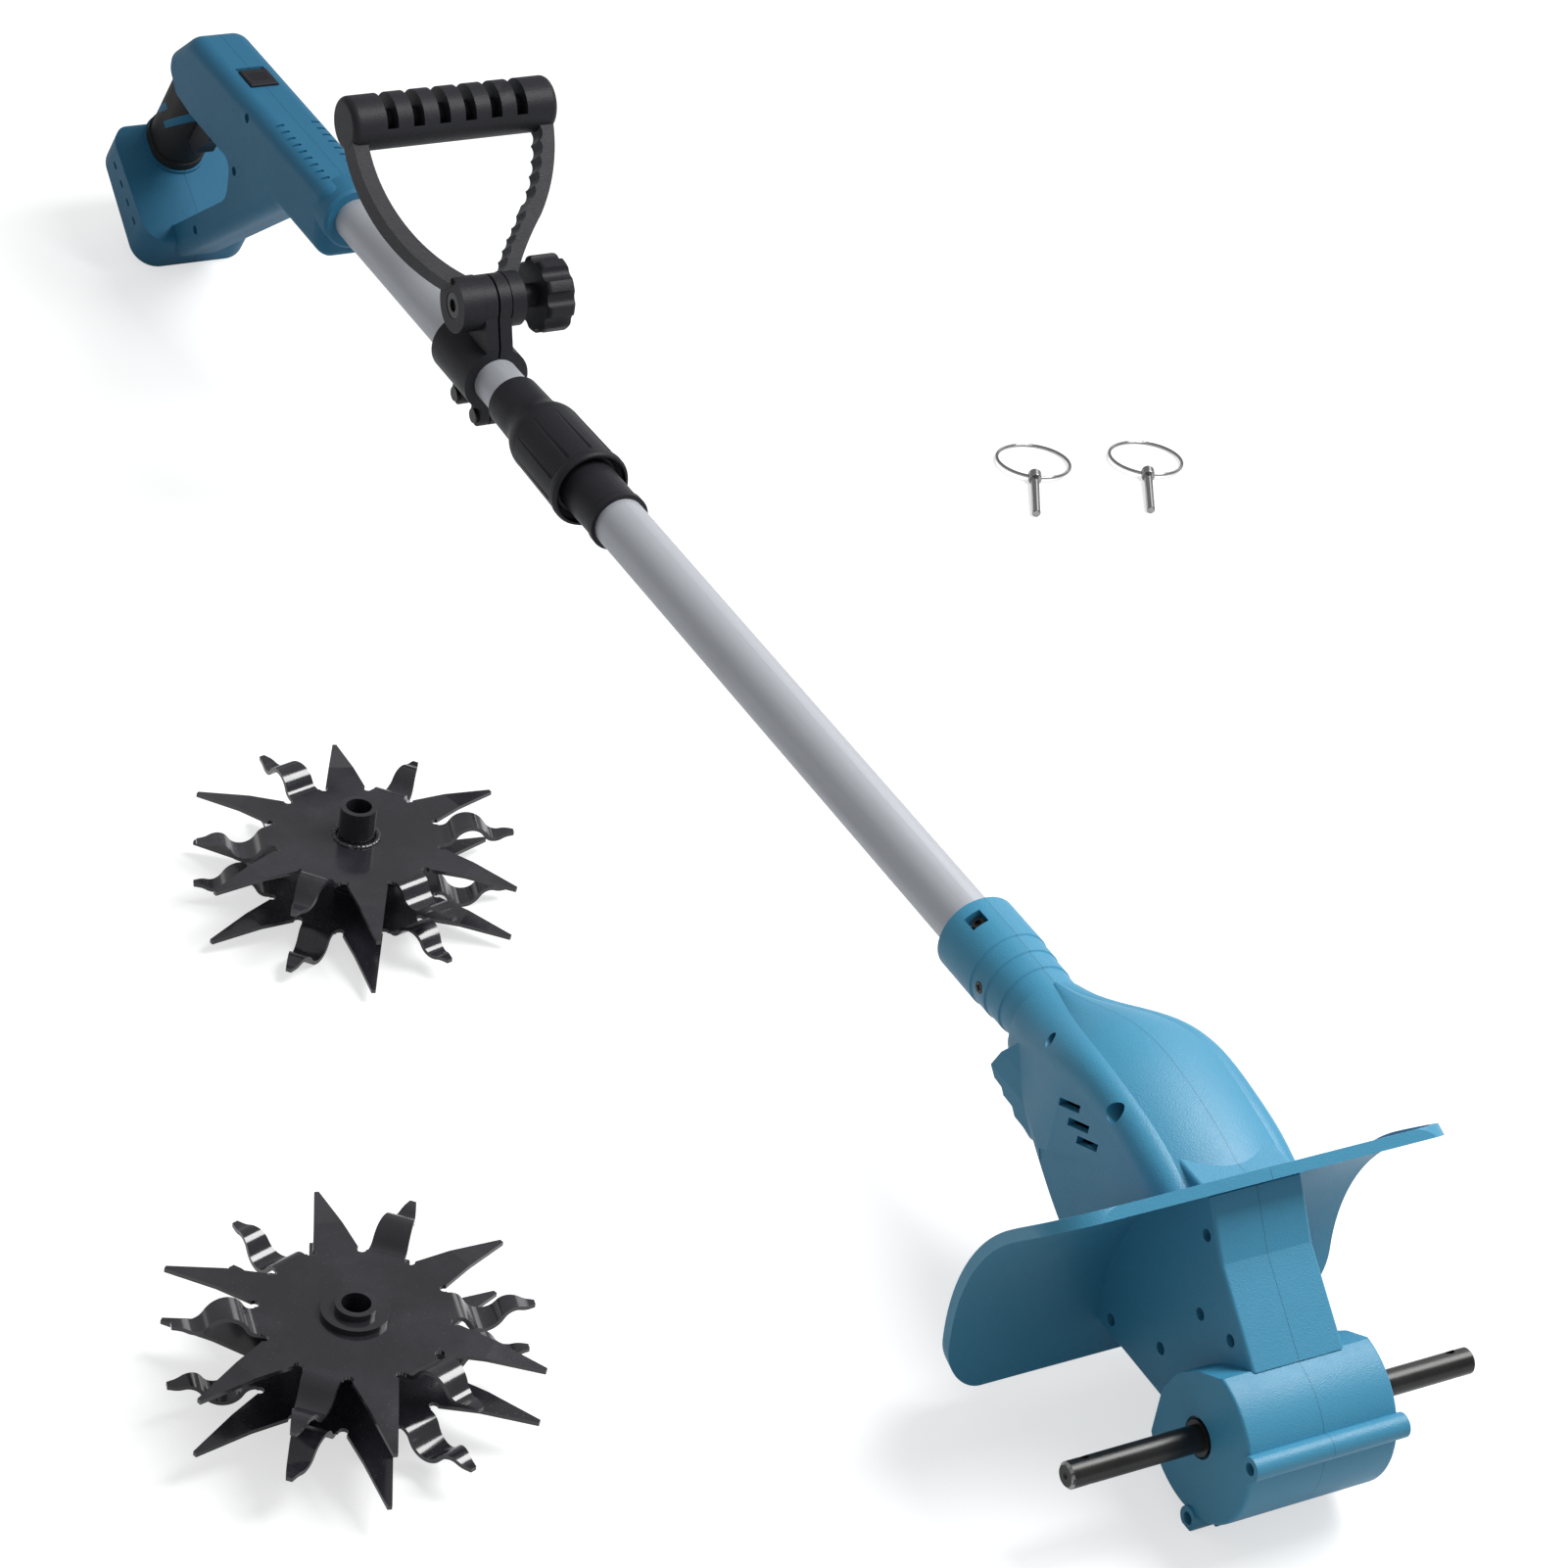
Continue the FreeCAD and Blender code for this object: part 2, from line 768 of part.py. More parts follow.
def half_width_at(place):
    """Half width of the housing where a screw goes in."""
    if place in drum_screws:
        return drum_half_width + boss_overhang
    if place in leg_screws:
        return leg_half_width
    if place == neck_screw:
        return neck_radius - 2 * neck_step
    share = (place[0] - hood_front_y) / hood_length
    for low, high in zip(hood_station_shares, hood_station_shares[1:]):
        if low[0] <= share <= high[0]:
            t = (share - low[0]) / (high[0] - low[0])
            return (low[1] + t * (high[1] - low[1])) * hood_half_width
    return hood_half_width


def all_screws():
    return leg_screws + drum_screws + hood_screws + [neck_screw]


def seat_depth(place):
    """How far the screw's seat lies inside the housing's side."""
    if place == neck_screw:
        return neck_lip
    return 2 * recess_depth if place in hood_screws else recess_depth


def housing():
    """Both halves of the head, each with its own posts."""
    hood = louvres(vents(side_panels(hood_body(0.0))))
    outer_parts = [
        hood.cut(behind_guard(guard_radius + guard_sheet / 2)),
        outlet_body(),
        guard_body(),
        soft_prism_x(leg_outline(0.0), 0, -leg_half_width, leg_half_width, leg_edge_radius),
        drum_outer(),
        neck_body(),
        skid_body(),
    ]
    for place in drum_screws:
        reach = drum_half_width + boss_overhang
        outer_parts.append(cyl_x(boss_radius, -reach, reach, place))
    body = outer_parts[0]
    for part in outer_parts[1:]:
        body = body.fuse(part)
    body = body.cut(hollow())
    halves = []
    for side in (-1, 1):
        halves.append(drilled(half(body, side).fuse(inner_posts(side))))
    return halves


def rim_edges(body):
    tiny = shaft_fit / 10
    return [e for e in body.Edges if e.BoundBox.XLength < tiny]


def drum_outer():
    drum = cyl_x(drum_radius, -drum_half_width, drum_half_width)
    drum = drum.makeFillet(drum_edge_radius, rim_edges(drum))
    return drum.cut(shoulders(leg_half_width - wall / 2, 0.0))


def shoulders(start, inset):
    """Room beside the leg where the drum's ends are lower, drawn in by an inset."""
    shift = -inset * sqrt(1 / 2)
    points = [(y + shift, z + shift) for y, z in shoulder_points]
    left = prism_x(points, shoulder_corners, -OVERRUN, -start)
    right = prism_x(points, shoulder_corners, start, OVERRUN)
    return Part.makeCompound([left, right])


def hollow():
    """Inside of the housing: hood, leg and drum, with the neck's bore."""
    reach = leg_half_width - wall
    hood = hood_body(wall + panel_step + label_step).cut(behind_guard(guard_radius + guard_sheet))
    leg = prism_x(leg_outline(wall), 0, -reach, reach)
    front = hood_front_y + wall
    roof = pole_height + hood_station_shares[0][2] * hood_rise - wall
    leg = leg.cut(block(-reach, reach, front, OVERRUN * 3, roof, OVERRUN * 3))
    inner = drum_half_width - drum_side_wall
    drum = cyl_x(drum_radius - wall, -inner, inner).cut(shoulders(reach, wall))
    for side in (-1, 1):
        a = side * (inner - bearing_width)
        b = side * inner
        seat = ring_x(bearing_radius + bearing_seat_wall, bearing_radius + shaft_fit, min(a, b), max(a, b))
        drum = drum.cut(seat)
    bore = cyl_y(lower_tube_radius + shaft_fit, lower_tube_start, neck_mouth_y + OVERRUN)
    tunnel = cyl_y(lower_tube_radius - 2 * lower_tube_wall, neck_start_y - hood_length / 8, neck_mouth_y)
    return hood.fuse(leg).fuse(drum).fuse(bore).fuse(tunnel)


def inner_posts(side):
    """Screw posts and gear pin bosses that stand inside one half of the housing."""
    posts = []
    for place in leg_screws:
        reach = side * (leg_half_width - wall / 2)
        posts.append(cyl_x(screw_post_radius, min(0, reach), max(0, reach), place))
    skin = hood_body(panel_step + label_step + wall / 4)
    reach = side * hood_half_width
    for place in hood_screws:
        radius = recess_of(place) + wall / 2
        posts.append(cyl_x(radius, min(0, reach), max(0, reach), place).common(skin))
    places = gear_places()
    for name in carried_gears:
        if side > 0 and name in one_sided_gears:
            continue
        inner = pin_boss_inner(name)[0 if side < 0 else 1]
        span = side * hood_half_width
        if name in ("idler_one", "second"):
            span = side * (leg_half_width - wall / 2)
        boss = cyl_x(gear_pin_radius + wall, min(inner, span), max(inner, span), places[name])
        if name in ("idler_two", "first"):
            boss = boss.common(skin)
        posts.append(boss)
    body = posts[0]
    for post in posts[1:]:
        body = body.fuse(post)
    return body


def recess_of(place):
    """Radius of a screw's recess."""
    return large_recess_radius if place == hood_screws[0] else recess_radius


def pin_boss_inner(name):
    """Where the bosses of a gear pin end inside, left and right."""
    spans = {
        "idler_one": (heavy_plane_x - output_width / 2, heavy_plane_x + output_width / 2),
        "second": (heavy_plane_x - output_width / 2, middle_plane_x + middle_width / 2),
        "idler_two": (middle_plane_x - middle_width / 2, middle_plane_x + middle_width / 2),
        "first": (middle_plane_x - middle_width / 2, fine_plane_x + fine_width / 2),
    }
    low, high = spans[name]
    return low - seat_gap, high + seat_gap


def drilled(body):
    """All bores, recesses and pockets of the housing."""
    cuts = [cyl_x(case_bore_radius, -OVERRUN, OVERRUN)]
    for place in all_screws():
        side = half_width_at(place)
        radius = recess_of(place)
        seat = -side + seat_depth(place)
        cuts.append(cyl_x(radius, -side - OVERRUN, seat, place))
        cuts.append(cyl_x(screw_shank_radius, seat - wall, screw_tip(place), place))
    places = gear_places()
    for name in carried_gears:
        reach = gear_pin_reach(name)
        cuts.append(cyl_x(gear_pin_radius, reach[0], reach[1], places[name]))
    pocket_y = neck_mouth_y - neck_nut_inset
    pocket = block(-nut_pocket_half, nut_pocket_half, pocket_y - nut_pocket_half, pocket_y + nut_pocket_half,
                   pole_height + lower_tube_radius + nut_height / 4, pole_height + neck_radius + OVERRUN)
    pocket.rotate(V(0, 0, pole_height), V(0, 1, 0), neck_nut_deg)
    cuts.append(pocket)
    for cut in cuts:
        body = body.cut(cut)
    return body


def gear_pin_reach(name):
    """Ends of a gear pin, held in both halves or only in the left one."""
    low, high = pin_boss_inner(name)
    if name in one_sided_gears:
        return low - wall * 4, high - seat_gap
    return low - wall * 2, high + wall * 1.5


def screw_tip(place):
    if place == neck_screw:
        return -lower_tube_bore + lower_tube_wall
    return half_width_at(place) / 2


def housing_screws():
    """Pan head screws that close the head, as one group."""
    screws = []
    for place in all_screws():
        seat = -half_width_at(place) + seat_depth(place)
        head = cyl_x(screw_head_radius, seat - screw_head_height, seat, place)
        slot = block(seat - screw_head_height - OVERRUN, seat - screw_head_height / 2,
                     place[0] - screw_head_radius / 6, place[0] + screw_head_radius / 6,
                     place[1] - screw_head_radius * 0.7, place[1] + screw_head_radius * 0.7)
        cross = slot.copy()
        cross.rotate(yz(place), V(1, 0, 0), FULL_TURN / 4)
        shank = cyl_x(screw_shank_radius, seat, screw_tip(place), place)
        screws.append(head.cut(slot).cut(cross).fuse(shank))
    return Part.makeCompound(screws)


def neck_nut():
    pocket_y = neck_mouth_y - neck_nut_inset
    z0 = pole_height + lower_tube_radius + nut_height / 4
    points = []
    for i in range(6):
        a = i * pi / 3
        points.append(V(nut_half * cos(a), pocket_y + nut_half * sin(a), z0))
    nut = Part.Face(Part.makePolygon(points + points[:1])).extrude(V(0, 0, nut_height))
    nut = nut.cut(cyl_z(nut_half / 2, z0 + nut_height / 2, z0 + OVERRUN, 0, pocket_y))
    nut.rotate(V(0, 0, pole_height), V(0, 1, 0), neck_nut_deg)
    return nut


# Gears
def gear(teeth, module, x0, x1, place, phase, bore):
    """Spur gear with straight-sided teeth, slim enough to run free at any turn."""
    pitch = teeth * module / 2
    tip = pitch + addendum_share * module
    root = pitch - dedendum_share * module
    step = 2 * pi / teeth
    points = []
    for i in range(teeth):
        c = phase + i * step
        for radius, share in ((root, -root_share), (pitch, -tooth_share), (tip, -tip_share),
                              (tip, tip_share), (pitch, tooth_share), (root, root_share)):
            a = c + share * step / 2
            points.append(V(x0, place[0] + radius * cos(a), place[1] + radius * sin(a)))
    disc = Part.Face(Part.makePolygon(points + points[:1])).extrude(V(x1 - x0, 0, 0))
    return disc.cut(cyl_x(bore, x0 - OVERRUN, x1 + OVERRUN, place))


def meshed_phase(teeth_a, phase_a, teeth_b, line):
    """Phase of gear b so that its gap meets gear a's tooth on the line of centres."""
    step_a = 2 * pi / teeth_a
    off = (phase_a - line) % step_a
    return line + pi + pi / teeth_b - off * teeth_a / teeth_b


def gear_set():
    places = gear_places()

    def line(a, b):
        return atan2(places[b][1] - places[a][1], places[b][0] - places[a][0])

    phase_output = 0.0
    phase_idler_one = meshed_phase(output_teeth, phase_output, idler_one_teeth, line("output", "idler_one"))
    phase_second = meshed_phase(idler_one_teeth, phase_idler_one, second_small_teeth,
                                line("idler_one", "second"))
    phase_idler_two = meshed_phase(second_large_teeth, 0.0, idler_two_teeth, line("second", "idler_two"))
    phase_first = meshed_phase(idler_two_teeth, phase_idler_two, first_small_teeth,
                               line("idler_two", "first"))
    phase_pinion = meshed_phase(first_large_teeth, 0.0, pinion_teeth, line("first", "motor"))
    hw = output_width / 2
    mw = middle_width / 2
    fw = fine_width / 2
    heavy = (heavy_plane_x - hw, heavy_plane_x + hw)
    middle = (middle_plane_x - mw, middle_plane_x + mw)
    fine = (fine_plane_x - fw, fine_plane_x + fw)
    pin_bore = gear_pin_radius + shaft_fit
    output = gear(output_teeth, heavy_module, heavy[0], heavy[1], places["output"], phase_output,
                  axle_seat_radius)
    for side in (-1, 1):
        a, b = sorted((side * hw, side * (hw + gear_hub_length)))
        output = output.fuse(ring_x(gear_hub_radius, axle_seat_radius, a, b))
    idler_one = gear(idler_one_teeth, heavy_module, heavy[0], heavy[1], places["idler_one"],
                     phase_idler_one, pin_bore)
    second = gear(second_small_teeth, heavy_module, heavy[0], middle[0], places["second"], phase_second,
                  pin_bore)
    second = second.fuse(gear(second_large_teeth, middle_module, middle[0], middle[1], places["second"],
                              0.0, pin_bore))
    idler_two = gear(idler_two_teeth, middle_module, middle[0], middle[1], places["idler_two"],
                     phase_idler_two, pin_bore)
    first = gear(first_small_teeth, middle_module, middle[0], fine[0], places["first"], phase_first, pin_bore)
    first = first.fuse(gear(first_large_teeth, fine_module, fine[0], fine[1], places["first"], 0.0, pin_bore))
    return {
        "output_gear": output,
        "first_idler_gear": idler_one,
        "second_reduction_gear": second,
        "second_idler_gear": idler_two,
        "first_reduction_gear": first,
        "motor_shaft": motor_shaft(places["motor"], fine, phase_pinion),
    }


def motor_shaft(place, fine, phase):
    pinion = gear(pinion_teeth, fine_module, fine[0], fine[1], place, phase, pinion_bore_radius)
    shaft = cyl_x(pinion_bore_radius, motor_front_x - motor_length / 2, fine[1], place)
    return pinion.fuse(shaft)


def gear_pins():
    places = gear_places()
    pins = []
    for name in carried_gears:
        low, high = gear_pin_reach(name)
        pins.append(cyl_x(gear_pin_radius, low, high, places[name]))
    return Part.makeCompound(pins)


def motor_can():
    place = gear_places()["motor"]
    back = motor_front_x - motor_length
    can = cyl_x(motor_radius, back, motor_front_x, place)
    can = can.makeFillet(motor_radius / 8, [e for e in rim_edges(can) if e.BoundBox.XMin > back + wall])
    boss = cyl_x(motor_boss_radius, motor_front_x, motor_front_x + motor_boss_length, place)
    bore = cyl_x(pinion_bore_radius + shaft_fit, motor_front_x - motor_length / 2, motor_front_x + OVERRUN,
                 place)
    window = block(back + motor_length / 4, motor_front_x - motor_length / 4,
                   place[0] - motor_radius / 3, place[0] + motor_radius / 3,
                   place[1] + motor_radius * 0.9, place[1] + OVERRUN)
    return can.fuse(boss).cut(bore).cut(window)


def motor_cap():
    place = gear_places()["motor"]
    back = motor_front_x - motor_length
    cap = cyl_x(motor_radius - wall / 2, back - motor_cap_length, back, place)
    hub_end = back - motor_cap_length
    hub = cyl_x(motor_boss_radius, hub_end - motor_boss_length, hub_end, place)
    body = cap.fuse(hub)
    for side in (-1, 1):
        tab_z = place[1] + side * motor_radius / 2
        body = body.fuse(block(back - motor_cap_length - wall, back - motor_cap_length,
                               place[0] - wall, place[0] + wall, tab_z - wall / 4, tab_z + wall / 4))
    return body


# Axle
def axle():
    """Through axle: thicker between the sleeves, plain ends with a cross-hole for the rotors."""
    shaft = cyl_x(axle_radius, -axle_half_length, axle_half_length)
    shaft = shaft.makeChamfer(axle_chamfer, rim_edges(shaft))
    shaft = shaft.fuse(cyl_x(axle_seat_radius, -sleeve_end(), sleeve_end()))
    for side in (-1, 1):
        x = side * (axle_half_length - cross_hole_inset)
        hole = Part.makeCylinder(cross_hole_radius, 2 * OVERRUN, V(x, 0, -OVERRUN), V(0, 0, 1))
        hole.rotate(V(0, 0, 0), V(1, 0, 0), cross_hole_deg)
        shaft = shaft.cut(hole)
        cone = Part.makeCone(centre_drill_radius, 0, centre_drill_radius, V(side * axle_half_length, 0, 0),
                             V(-side, 0, 0))
        shaft = shaft.cut(cone)
    return shaft


def sleeve_end():
    """Where the sleeves and the axle's thick middle end."""
    return drum_half_width + boss_overhang / 2


def axle_sleeves():
    rings = []
    for side in (-1, 1):
        a, b = sorted((side * (drum_half_width - drum_side_wall), side * sleeve_end()))
        rings.append(ring_x(sleeve_radius, axle_seat_radius, a, b))
    return Part.makeCompound(rings)


def axle_bearings():
    inner = drum_half_width - drum_side_wall
    rings = []
    for side in (-1, 1):
        a, b = sorted((side * (inner - bearing_width), side * inner))
        ring = ring_x(bearing_radius, axle_seat_radius + shaft_fit, a, b)
        face = ring_x(bearing_radius - wall, sleeve_radius + wall / 2, a - OVERRUN, a + wall / 5)
        far = ring_x(bearing_radius - wall, sleeve_radius + wall / 2, b - wall / 5, b + OVERRUN)
        rings.append(ring.cut(face).cut(far))
    return Part.makeCompound(rings)


# Pole and twist lock
def lower_tube():
    tube = ring_y(lower_tube_radius, lower_tube_bore, lower_tube_start, lower_tube_end)
    return tube.cut(cyl_x(screw_shank_radius, -OVERRUN, 0, neck_screw))


def upper_tube():
    return ring_y(upper_tube_radius, upper_tube_bore, upper_tube_start, upper_tube_end)


def tube_bush():
    inner = upper_tube_bore
    start = upper_tube_start - tube_bush_length / 4
    plug = cyl_y(inner, start, upper_tube_start + tube_bush_length)
    flange = cyl_y(upper_tube_radius + running_gap / 3, start, upper_tube_start)
    bore = cyl_y(inner - 2 * upper_tube_wall, start - OVERRUN, upper_tube_start + tube_bush_length + OVERRUN)
    return plug.fuse(flange).cut(bore)


def lock_body():
    rim_end = lock_rim_y + lock_rim_length
    core_start = grip_skirt_y + grip_flange_length
    profile = [
        (lock_rim_y, lower_tube_radius + shaft_fit),
        (lock_rim_y, lock_rim_radius),
        (rim_end, lock_rim_radius),
        (rim_end + neck_lip, lock_sleeve_radius),
        (core_start, lock_sleeve_radius),
        (core_start, lock_core_radius),
        (lock_core_end, lock_core_radius),
        (lock_core_end, upper_tube_radius + running_gap),
        (lower_tube_end, upper_tube_radius + running_gap),
        (lower_tube_end, lower_tube_radius + shaft_fit),
    ]
    return turned_y(profile)


def twist_grip():
    inner = lock_core_radius + running_gap
    skirt_in = grip_flange_radius - grip_wall
    core_start = grip_skirt_y + grip_flange_length
    outer = [
        V(0, grip_skirt_y, pole_height + grip_flange_radius - neck_lip / 2),
        V(0, grip_skirt_y + neck_lip, pole_height + grip_flange_radius),
        V(0, core_start - neck_lip, pole_height + grip_flange_radius),
        V(0, core_start, pole_height + grip_bulge_radius),
    ]
    bulge_end = V(0, grip_bulge_end, pole_height + grip_bulge_radius - neck_lip / 2)
    mid_y = (grip_bulge_end + grip_neck_y) / 2
    mid_r = (grip_bulge_radius + grip_neck_radius) / 2
    s_mid = V(0, mid_y, pole_height + mid_r)
    neck = V(0, grip_neck_y, pole_height + grip_neck_radius)
    end = V(0, grip_end_y, pole_height + grip_end_radius)
    end_in = V(0, grip_end_y, pole_height + upper_tube_radius + running_gap)
    shoulder_y = lock_core_end + collet_length + seat_gap * 2
    shoulder_in = V(0, shoulder_y, pole_height + upper_tube_radius + running_gap)
    shoulder_out = V(0, shoulder_y, pole_height + inner)
    skirt_back = V(0, core_start, pole_height + inner)
    skirt_root = V(0, core_start - neck_lip, pole_height + skirt_in)
    skirt_front = V(0, grip_skirt_y, pole_height + skirt_in)
    edges = []
    for a, b in zip(outer, outer[1:]):
        edges.append(Part.makeLine(a, b))
    edges.append(Part.makeLine(outer[-1], bulge_end))
    quarter_a = V(0, (grip_bulge_end + mid_y) / 2, pole_height + mid_r + (grip_bulge_radius - mid_r) * 0.62)
    quarter_b = V(0, (grip_neck_y + mid_y) / 2, pole_height + mid_r - (mid_r - grip_neck_radius) * 0.7)
    edges.append(Part.Arc(bulge_end, quarter_a, s_mid).toShape())
    edges.append(Part.Arc(s_mid, quarter_b, neck).toShape())
    chain = [neck, end, end_in, shoulder_in, shoulder_out, skirt_back, skirt_root, skirt_front, outer[0]]
    for a, b in zip(chain, chain[1:]):
        edges.append(Part.makeLine(a, b))
    body = Part.Face(Part.Wire(edges)).revolve(V(0, 0, pole_height), V(0, 1, 0), FULL_TURN)
    for i in range(grip_flute_count):
        a = 2 * pi * i / grip_flute_count
        x = (grip_bulge_radius + grip_flute_radius / 3) * sin(a)
        z = pole_height + (grip_bulge_radius + grip_flute_radius / 3) * cos(a)
        body = body.cut(cyl_y(grip_flute_radius, core_start + neck_lip, grip_bulge_end - neck_lip, x, z))
    return body


def collet_ring():
    start = lock_core_end + seat_gap
    inner = upper_tube_radius + shaft_fit
    profile = [
        (start, inner),
        (start, inner + collet_thickness * 1.6),
        (start + collet_length / 2, inner + collet_thickness),
        (start + collet_length, inner + collet_thickness * 0.8),
        (start + collet_length, inner),
    ]
    ring = turned_y(profile)
    slit = block(-clamp_slot / 2, clamp_slot / 2, start - OVERRUN, start + OVERRUN,
                 pole_height, pole_height + OVERRUN)
    return ring.cut(slit)


# Handle clamp
def lug_places():
    """Places of the two bolt lugs under the clamp."""
    return [clamp_start_y + clamp_lug_inset, clamp_start_y + clamp_lug_inset + clamp_lug_pitch]


def clamp_halves():
    """Two halves that close round the upper tube, with ears above and bolt lugs below."""
    inner = upper_tube_radius + shaft_fit
    ring = cyl_y(clamp_ring_radius, clamp_start_y, clamp_end_y)
    ear_span = ear_radius * 0.92
    foot_y = pivot_y - pivot_rise * tan(radians(ear_lean_deg))
    ears = prism_x(
        [(foot_y - ear_span, pole_height), (foot_y + ear_span, pole_height),
         (pivot_y + ear_span, pivot_z), (pivot_y - ear_span, pivot_z)],
        0, -ear_width, ear_width)
    ears = ears.fuse(cyl_x(ear_radius, -ear_width, ear_width, (pivot_y, pivot_z)))
    ears = ears.cut(block(-OVERRUN, OVERRUN, foot_y - OVERRUN, clamp_start_y,
                          -OVERRUN, pole_height + OVERRUN))
    ears = ears.cut(cyl_y(inner, clamp_start_y - OVERRUN, clamp_end_y + OVERRUN))
    body = ring.fuse(ears)
    lug_z = pole_height - clamp_lug_drop
    for y in lug_places():
        body = body.fuse(cyl_x(clamp_lug_radius, -clamp_lug_length / 2, clamp_lug_length / 2, (y, lug_z)))
        body = body.fuse(block(-clamp_lug_length / 2, clamp_lug_length / 2,
                               y - clamp_lug_radius, y + clamp_lug_radius, lug_z, pole_height - inner))
    body = body.cut(cyl_y(inner, clamp_start_y - OVERRUN, clamp_end_y + OVERRUN))
    body = body.cut(cyl_x(pivot_bolt_radius + shaft_fit, -OVERRUN, OVERRUN, (pivot_y, pivot_z)))
    for y in lug_places():
        body = body.cut(cyl_x(clamp_bolt_radius, -OVERRUN, OVERRUN, (y, lug_z)))
    body = body.cut(block(-clamp_slot / 2, clamp_slot / 2, clamp_start_y - OVERRUN, clamp_end_y + OVERRUN,
                          pole_height - 2 * OVERRUN, pole_height + 2 * OVERRUN))
    return half(body, -1), half(body, 1)


def clamp_bolts():
    lug_z = pole_height - clamp_lug_drop
    bolts = []
    for y in lug_places():
        reach = clamp_lug_length / 2
        shank = cyl_x(clamp_bolt_radius, -reach, reach, (y, lug_z))
        head = cyl_x(2 * clamp_bolt_radius, reach, reach + clamp_bolt_radius, (y, lug_z))
        nut = cyl_x(2 * clamp_bolt_radius, -reach - clamp_bolt_radius, -reach, (y, lug_z))
        bolts.append(shank.fuse(head).fuse(nut))
    return Part.makeCompound(bolts)


def eye_spans():
    """Where the two eyes of the D-handle lie along the pivot."""
    left = (-ear_width - seat_gap - left_eye_width, -ear_width - seat_gap)
    right = (ear_width + seat_gap, ear_width + seat_gap + right_eye_width)
    return left, right


def circle_centre(a, b, c):
    """Centre of the circle through three points."""
    d = 2 * (a[0] * (b[1] - c[1]) + b[0] * (c[1] - a[1]) + c[0] * (a[1] - b[1]))
    sa, sb, sc = (p[0] ** 2 + p[1] ** 2 for p in (a, b, c))
    return (
        (sa * (b[1] - c[1]) + sb * (c[1] - a[1]) + sc * (a[1] - b[1])) / d,
        (sa * (c[0] - b[0]) + sb * (a[0] - c[0]) + sc * (b[0] - a[0])) / d,
    )


def arm_piece(a, b, c, hollow_side, scallops):
    """Curved band of the D-handle through three points of its middle line.

    The scallops lie on the hollow side of its curve (1) or on the bulging side (-1)."""
    centre = circle_centre(a, b, c)
    t = d_thickness / 2

    def off(p, distance):
        dx, dz = p[0] - centre[0], p[1] - centre[1]
        size = hypot(dx, dz)
        return V(centre[0] + dx * (size + distance) / size, -t, centre[1] + dz * (size + distance) / size)

    h = d_arm / 2
    edges = [
        Part.Arc(off(a, h), off(b, h), off(c, h)).toShape(),
        Part.makeLine(off(c, h), off(c, -h)),
        Part.Arc(off(c, -h), off(b, -h), off(a, -h)).toShape(),
        Part.makeLine(off(a, -h), off(a, h)),
    ]
    band = Part.Face(Part.Wire(edges)).extrude(V(0, d_thickness, 0))
    for p in (a, c):
        band = band.fuse(Part.makeCylinder(h, d_thickness, V(p[0], -t, p[1]), V(0, 1, 0)))
    start = atan2(a[1] - centre[1], a[0] - centre[0])
    end = atan2(c[1] - centre[1], c[0] - centre[0])
    radius = hypot(a[0] - centre[0], a[1] - centre[1])
    reach = radius - hollow_side * (h + d_scallop_radius - d_scallop_depth)
    for i in range(scallops):
        angle = start + (end - start) * (i + 1) / (scallops + 1)
        scoop = Part.makeCylinder(d_scallop_radius, 2 * d_thickness,
                                  V(centre[0] + reach * cos(angle), -d_thickness,
                                    centre[1] + reach * sin(angle)), V(0, 1, 0))
        band = band.cut(scoop)
    return band


def d_handle():
    """Grip bar, two curved arms with scalloped inner sides, and the pivot eyes.

    It is drawn flat with its reach along Z above the pivot, then leaned back."""
    left, right = eye_spans()
    left_mid = (left[0] + left[1]) / 2
    right_mid = (right[0] + right[1]) / 2
    top = d_half_width - d_arm / 2

    def at(side, share, reach_share):
        return (side * top * share, d_reach * reach_share)

    left_bulge = at(-1, *d_left_bulge_shares)
    knee = at(1, *d_knee_shares)
    right_hollow = at(1, *d_right_hollow_shares)
    right_bulge = at(1, *d_right_bulge_shares)
    body = arm_piece((left_mid, d_foot_reach), left_bulge, at(-1, 1, 1), 1, 2 * d_scallop_count)
    body = body.fuse(arm_piece((right_mid, d_foot_reach), right_hollow, knee, -1, d_scallop_count - 1))
    body = body.fuse(arm_piece(knee, right_bulge, at(1, 1, 1), 1, d_scallop_count))
    w = d_half_width
    bar_end = w + d_bar_radius / 10
    bar = Part.makeCylinder(d_bar_radius, 2 * bar_end, V(-bar_end, 0, d_reach), V(1, 0, 0))
    bar = bar.makeFillet(d_bar_radius / 4, rim_edges(bar))
    for i in range(d_slot_count):
        x = (i - (d_slot_count - 1) / 2) * d_slot_pitch
        ring = block(x - d_slot_width / 2, x + d_slot_width / 2, -OVERRUN, OVERRUN,
                     d_reach - d_bar_radius + d_slot_floor, d_reach + OVERRUN)
        core = Part.makeCylinder(d_bar_radius * d_core_share, d_slot_width,
                                 V(x - d_slot_width / 2, 0, d_reach), V(1, 0, 0))
        bar = bar.cut(ring.cut(core))
    body = body.fuse(bar)
    for x0, x1 in (left, right):
        body = body.fuse(cyl_x(eye_radius, x0, x1))
    clear = ear_radius + seat_gap
    body = body.cut(cyl_x(clear, left[1], right[0]))
    body = body.cut(cyl_x(pivot_bolt_radius + shaft_fit, -OVERRUN * 2, OVERRUN * 2))
    body = body.cut(cyl_x(bolt_head_radius + seat_gap, left[0] - OVERRUN, left[0] + bolt_head_height))
    stem = cyl_x(knob_stem_radius + seat_gap, right[1], right[1] + OVERRUN)
    body = body.cut(stem)
    body.rotate(V(0, 0, 0), V(1, 0, 0), d_lean_deg - FULL_TURN / 4)
    body.translate(V(0, pivot_y, pivot_z))
    return body


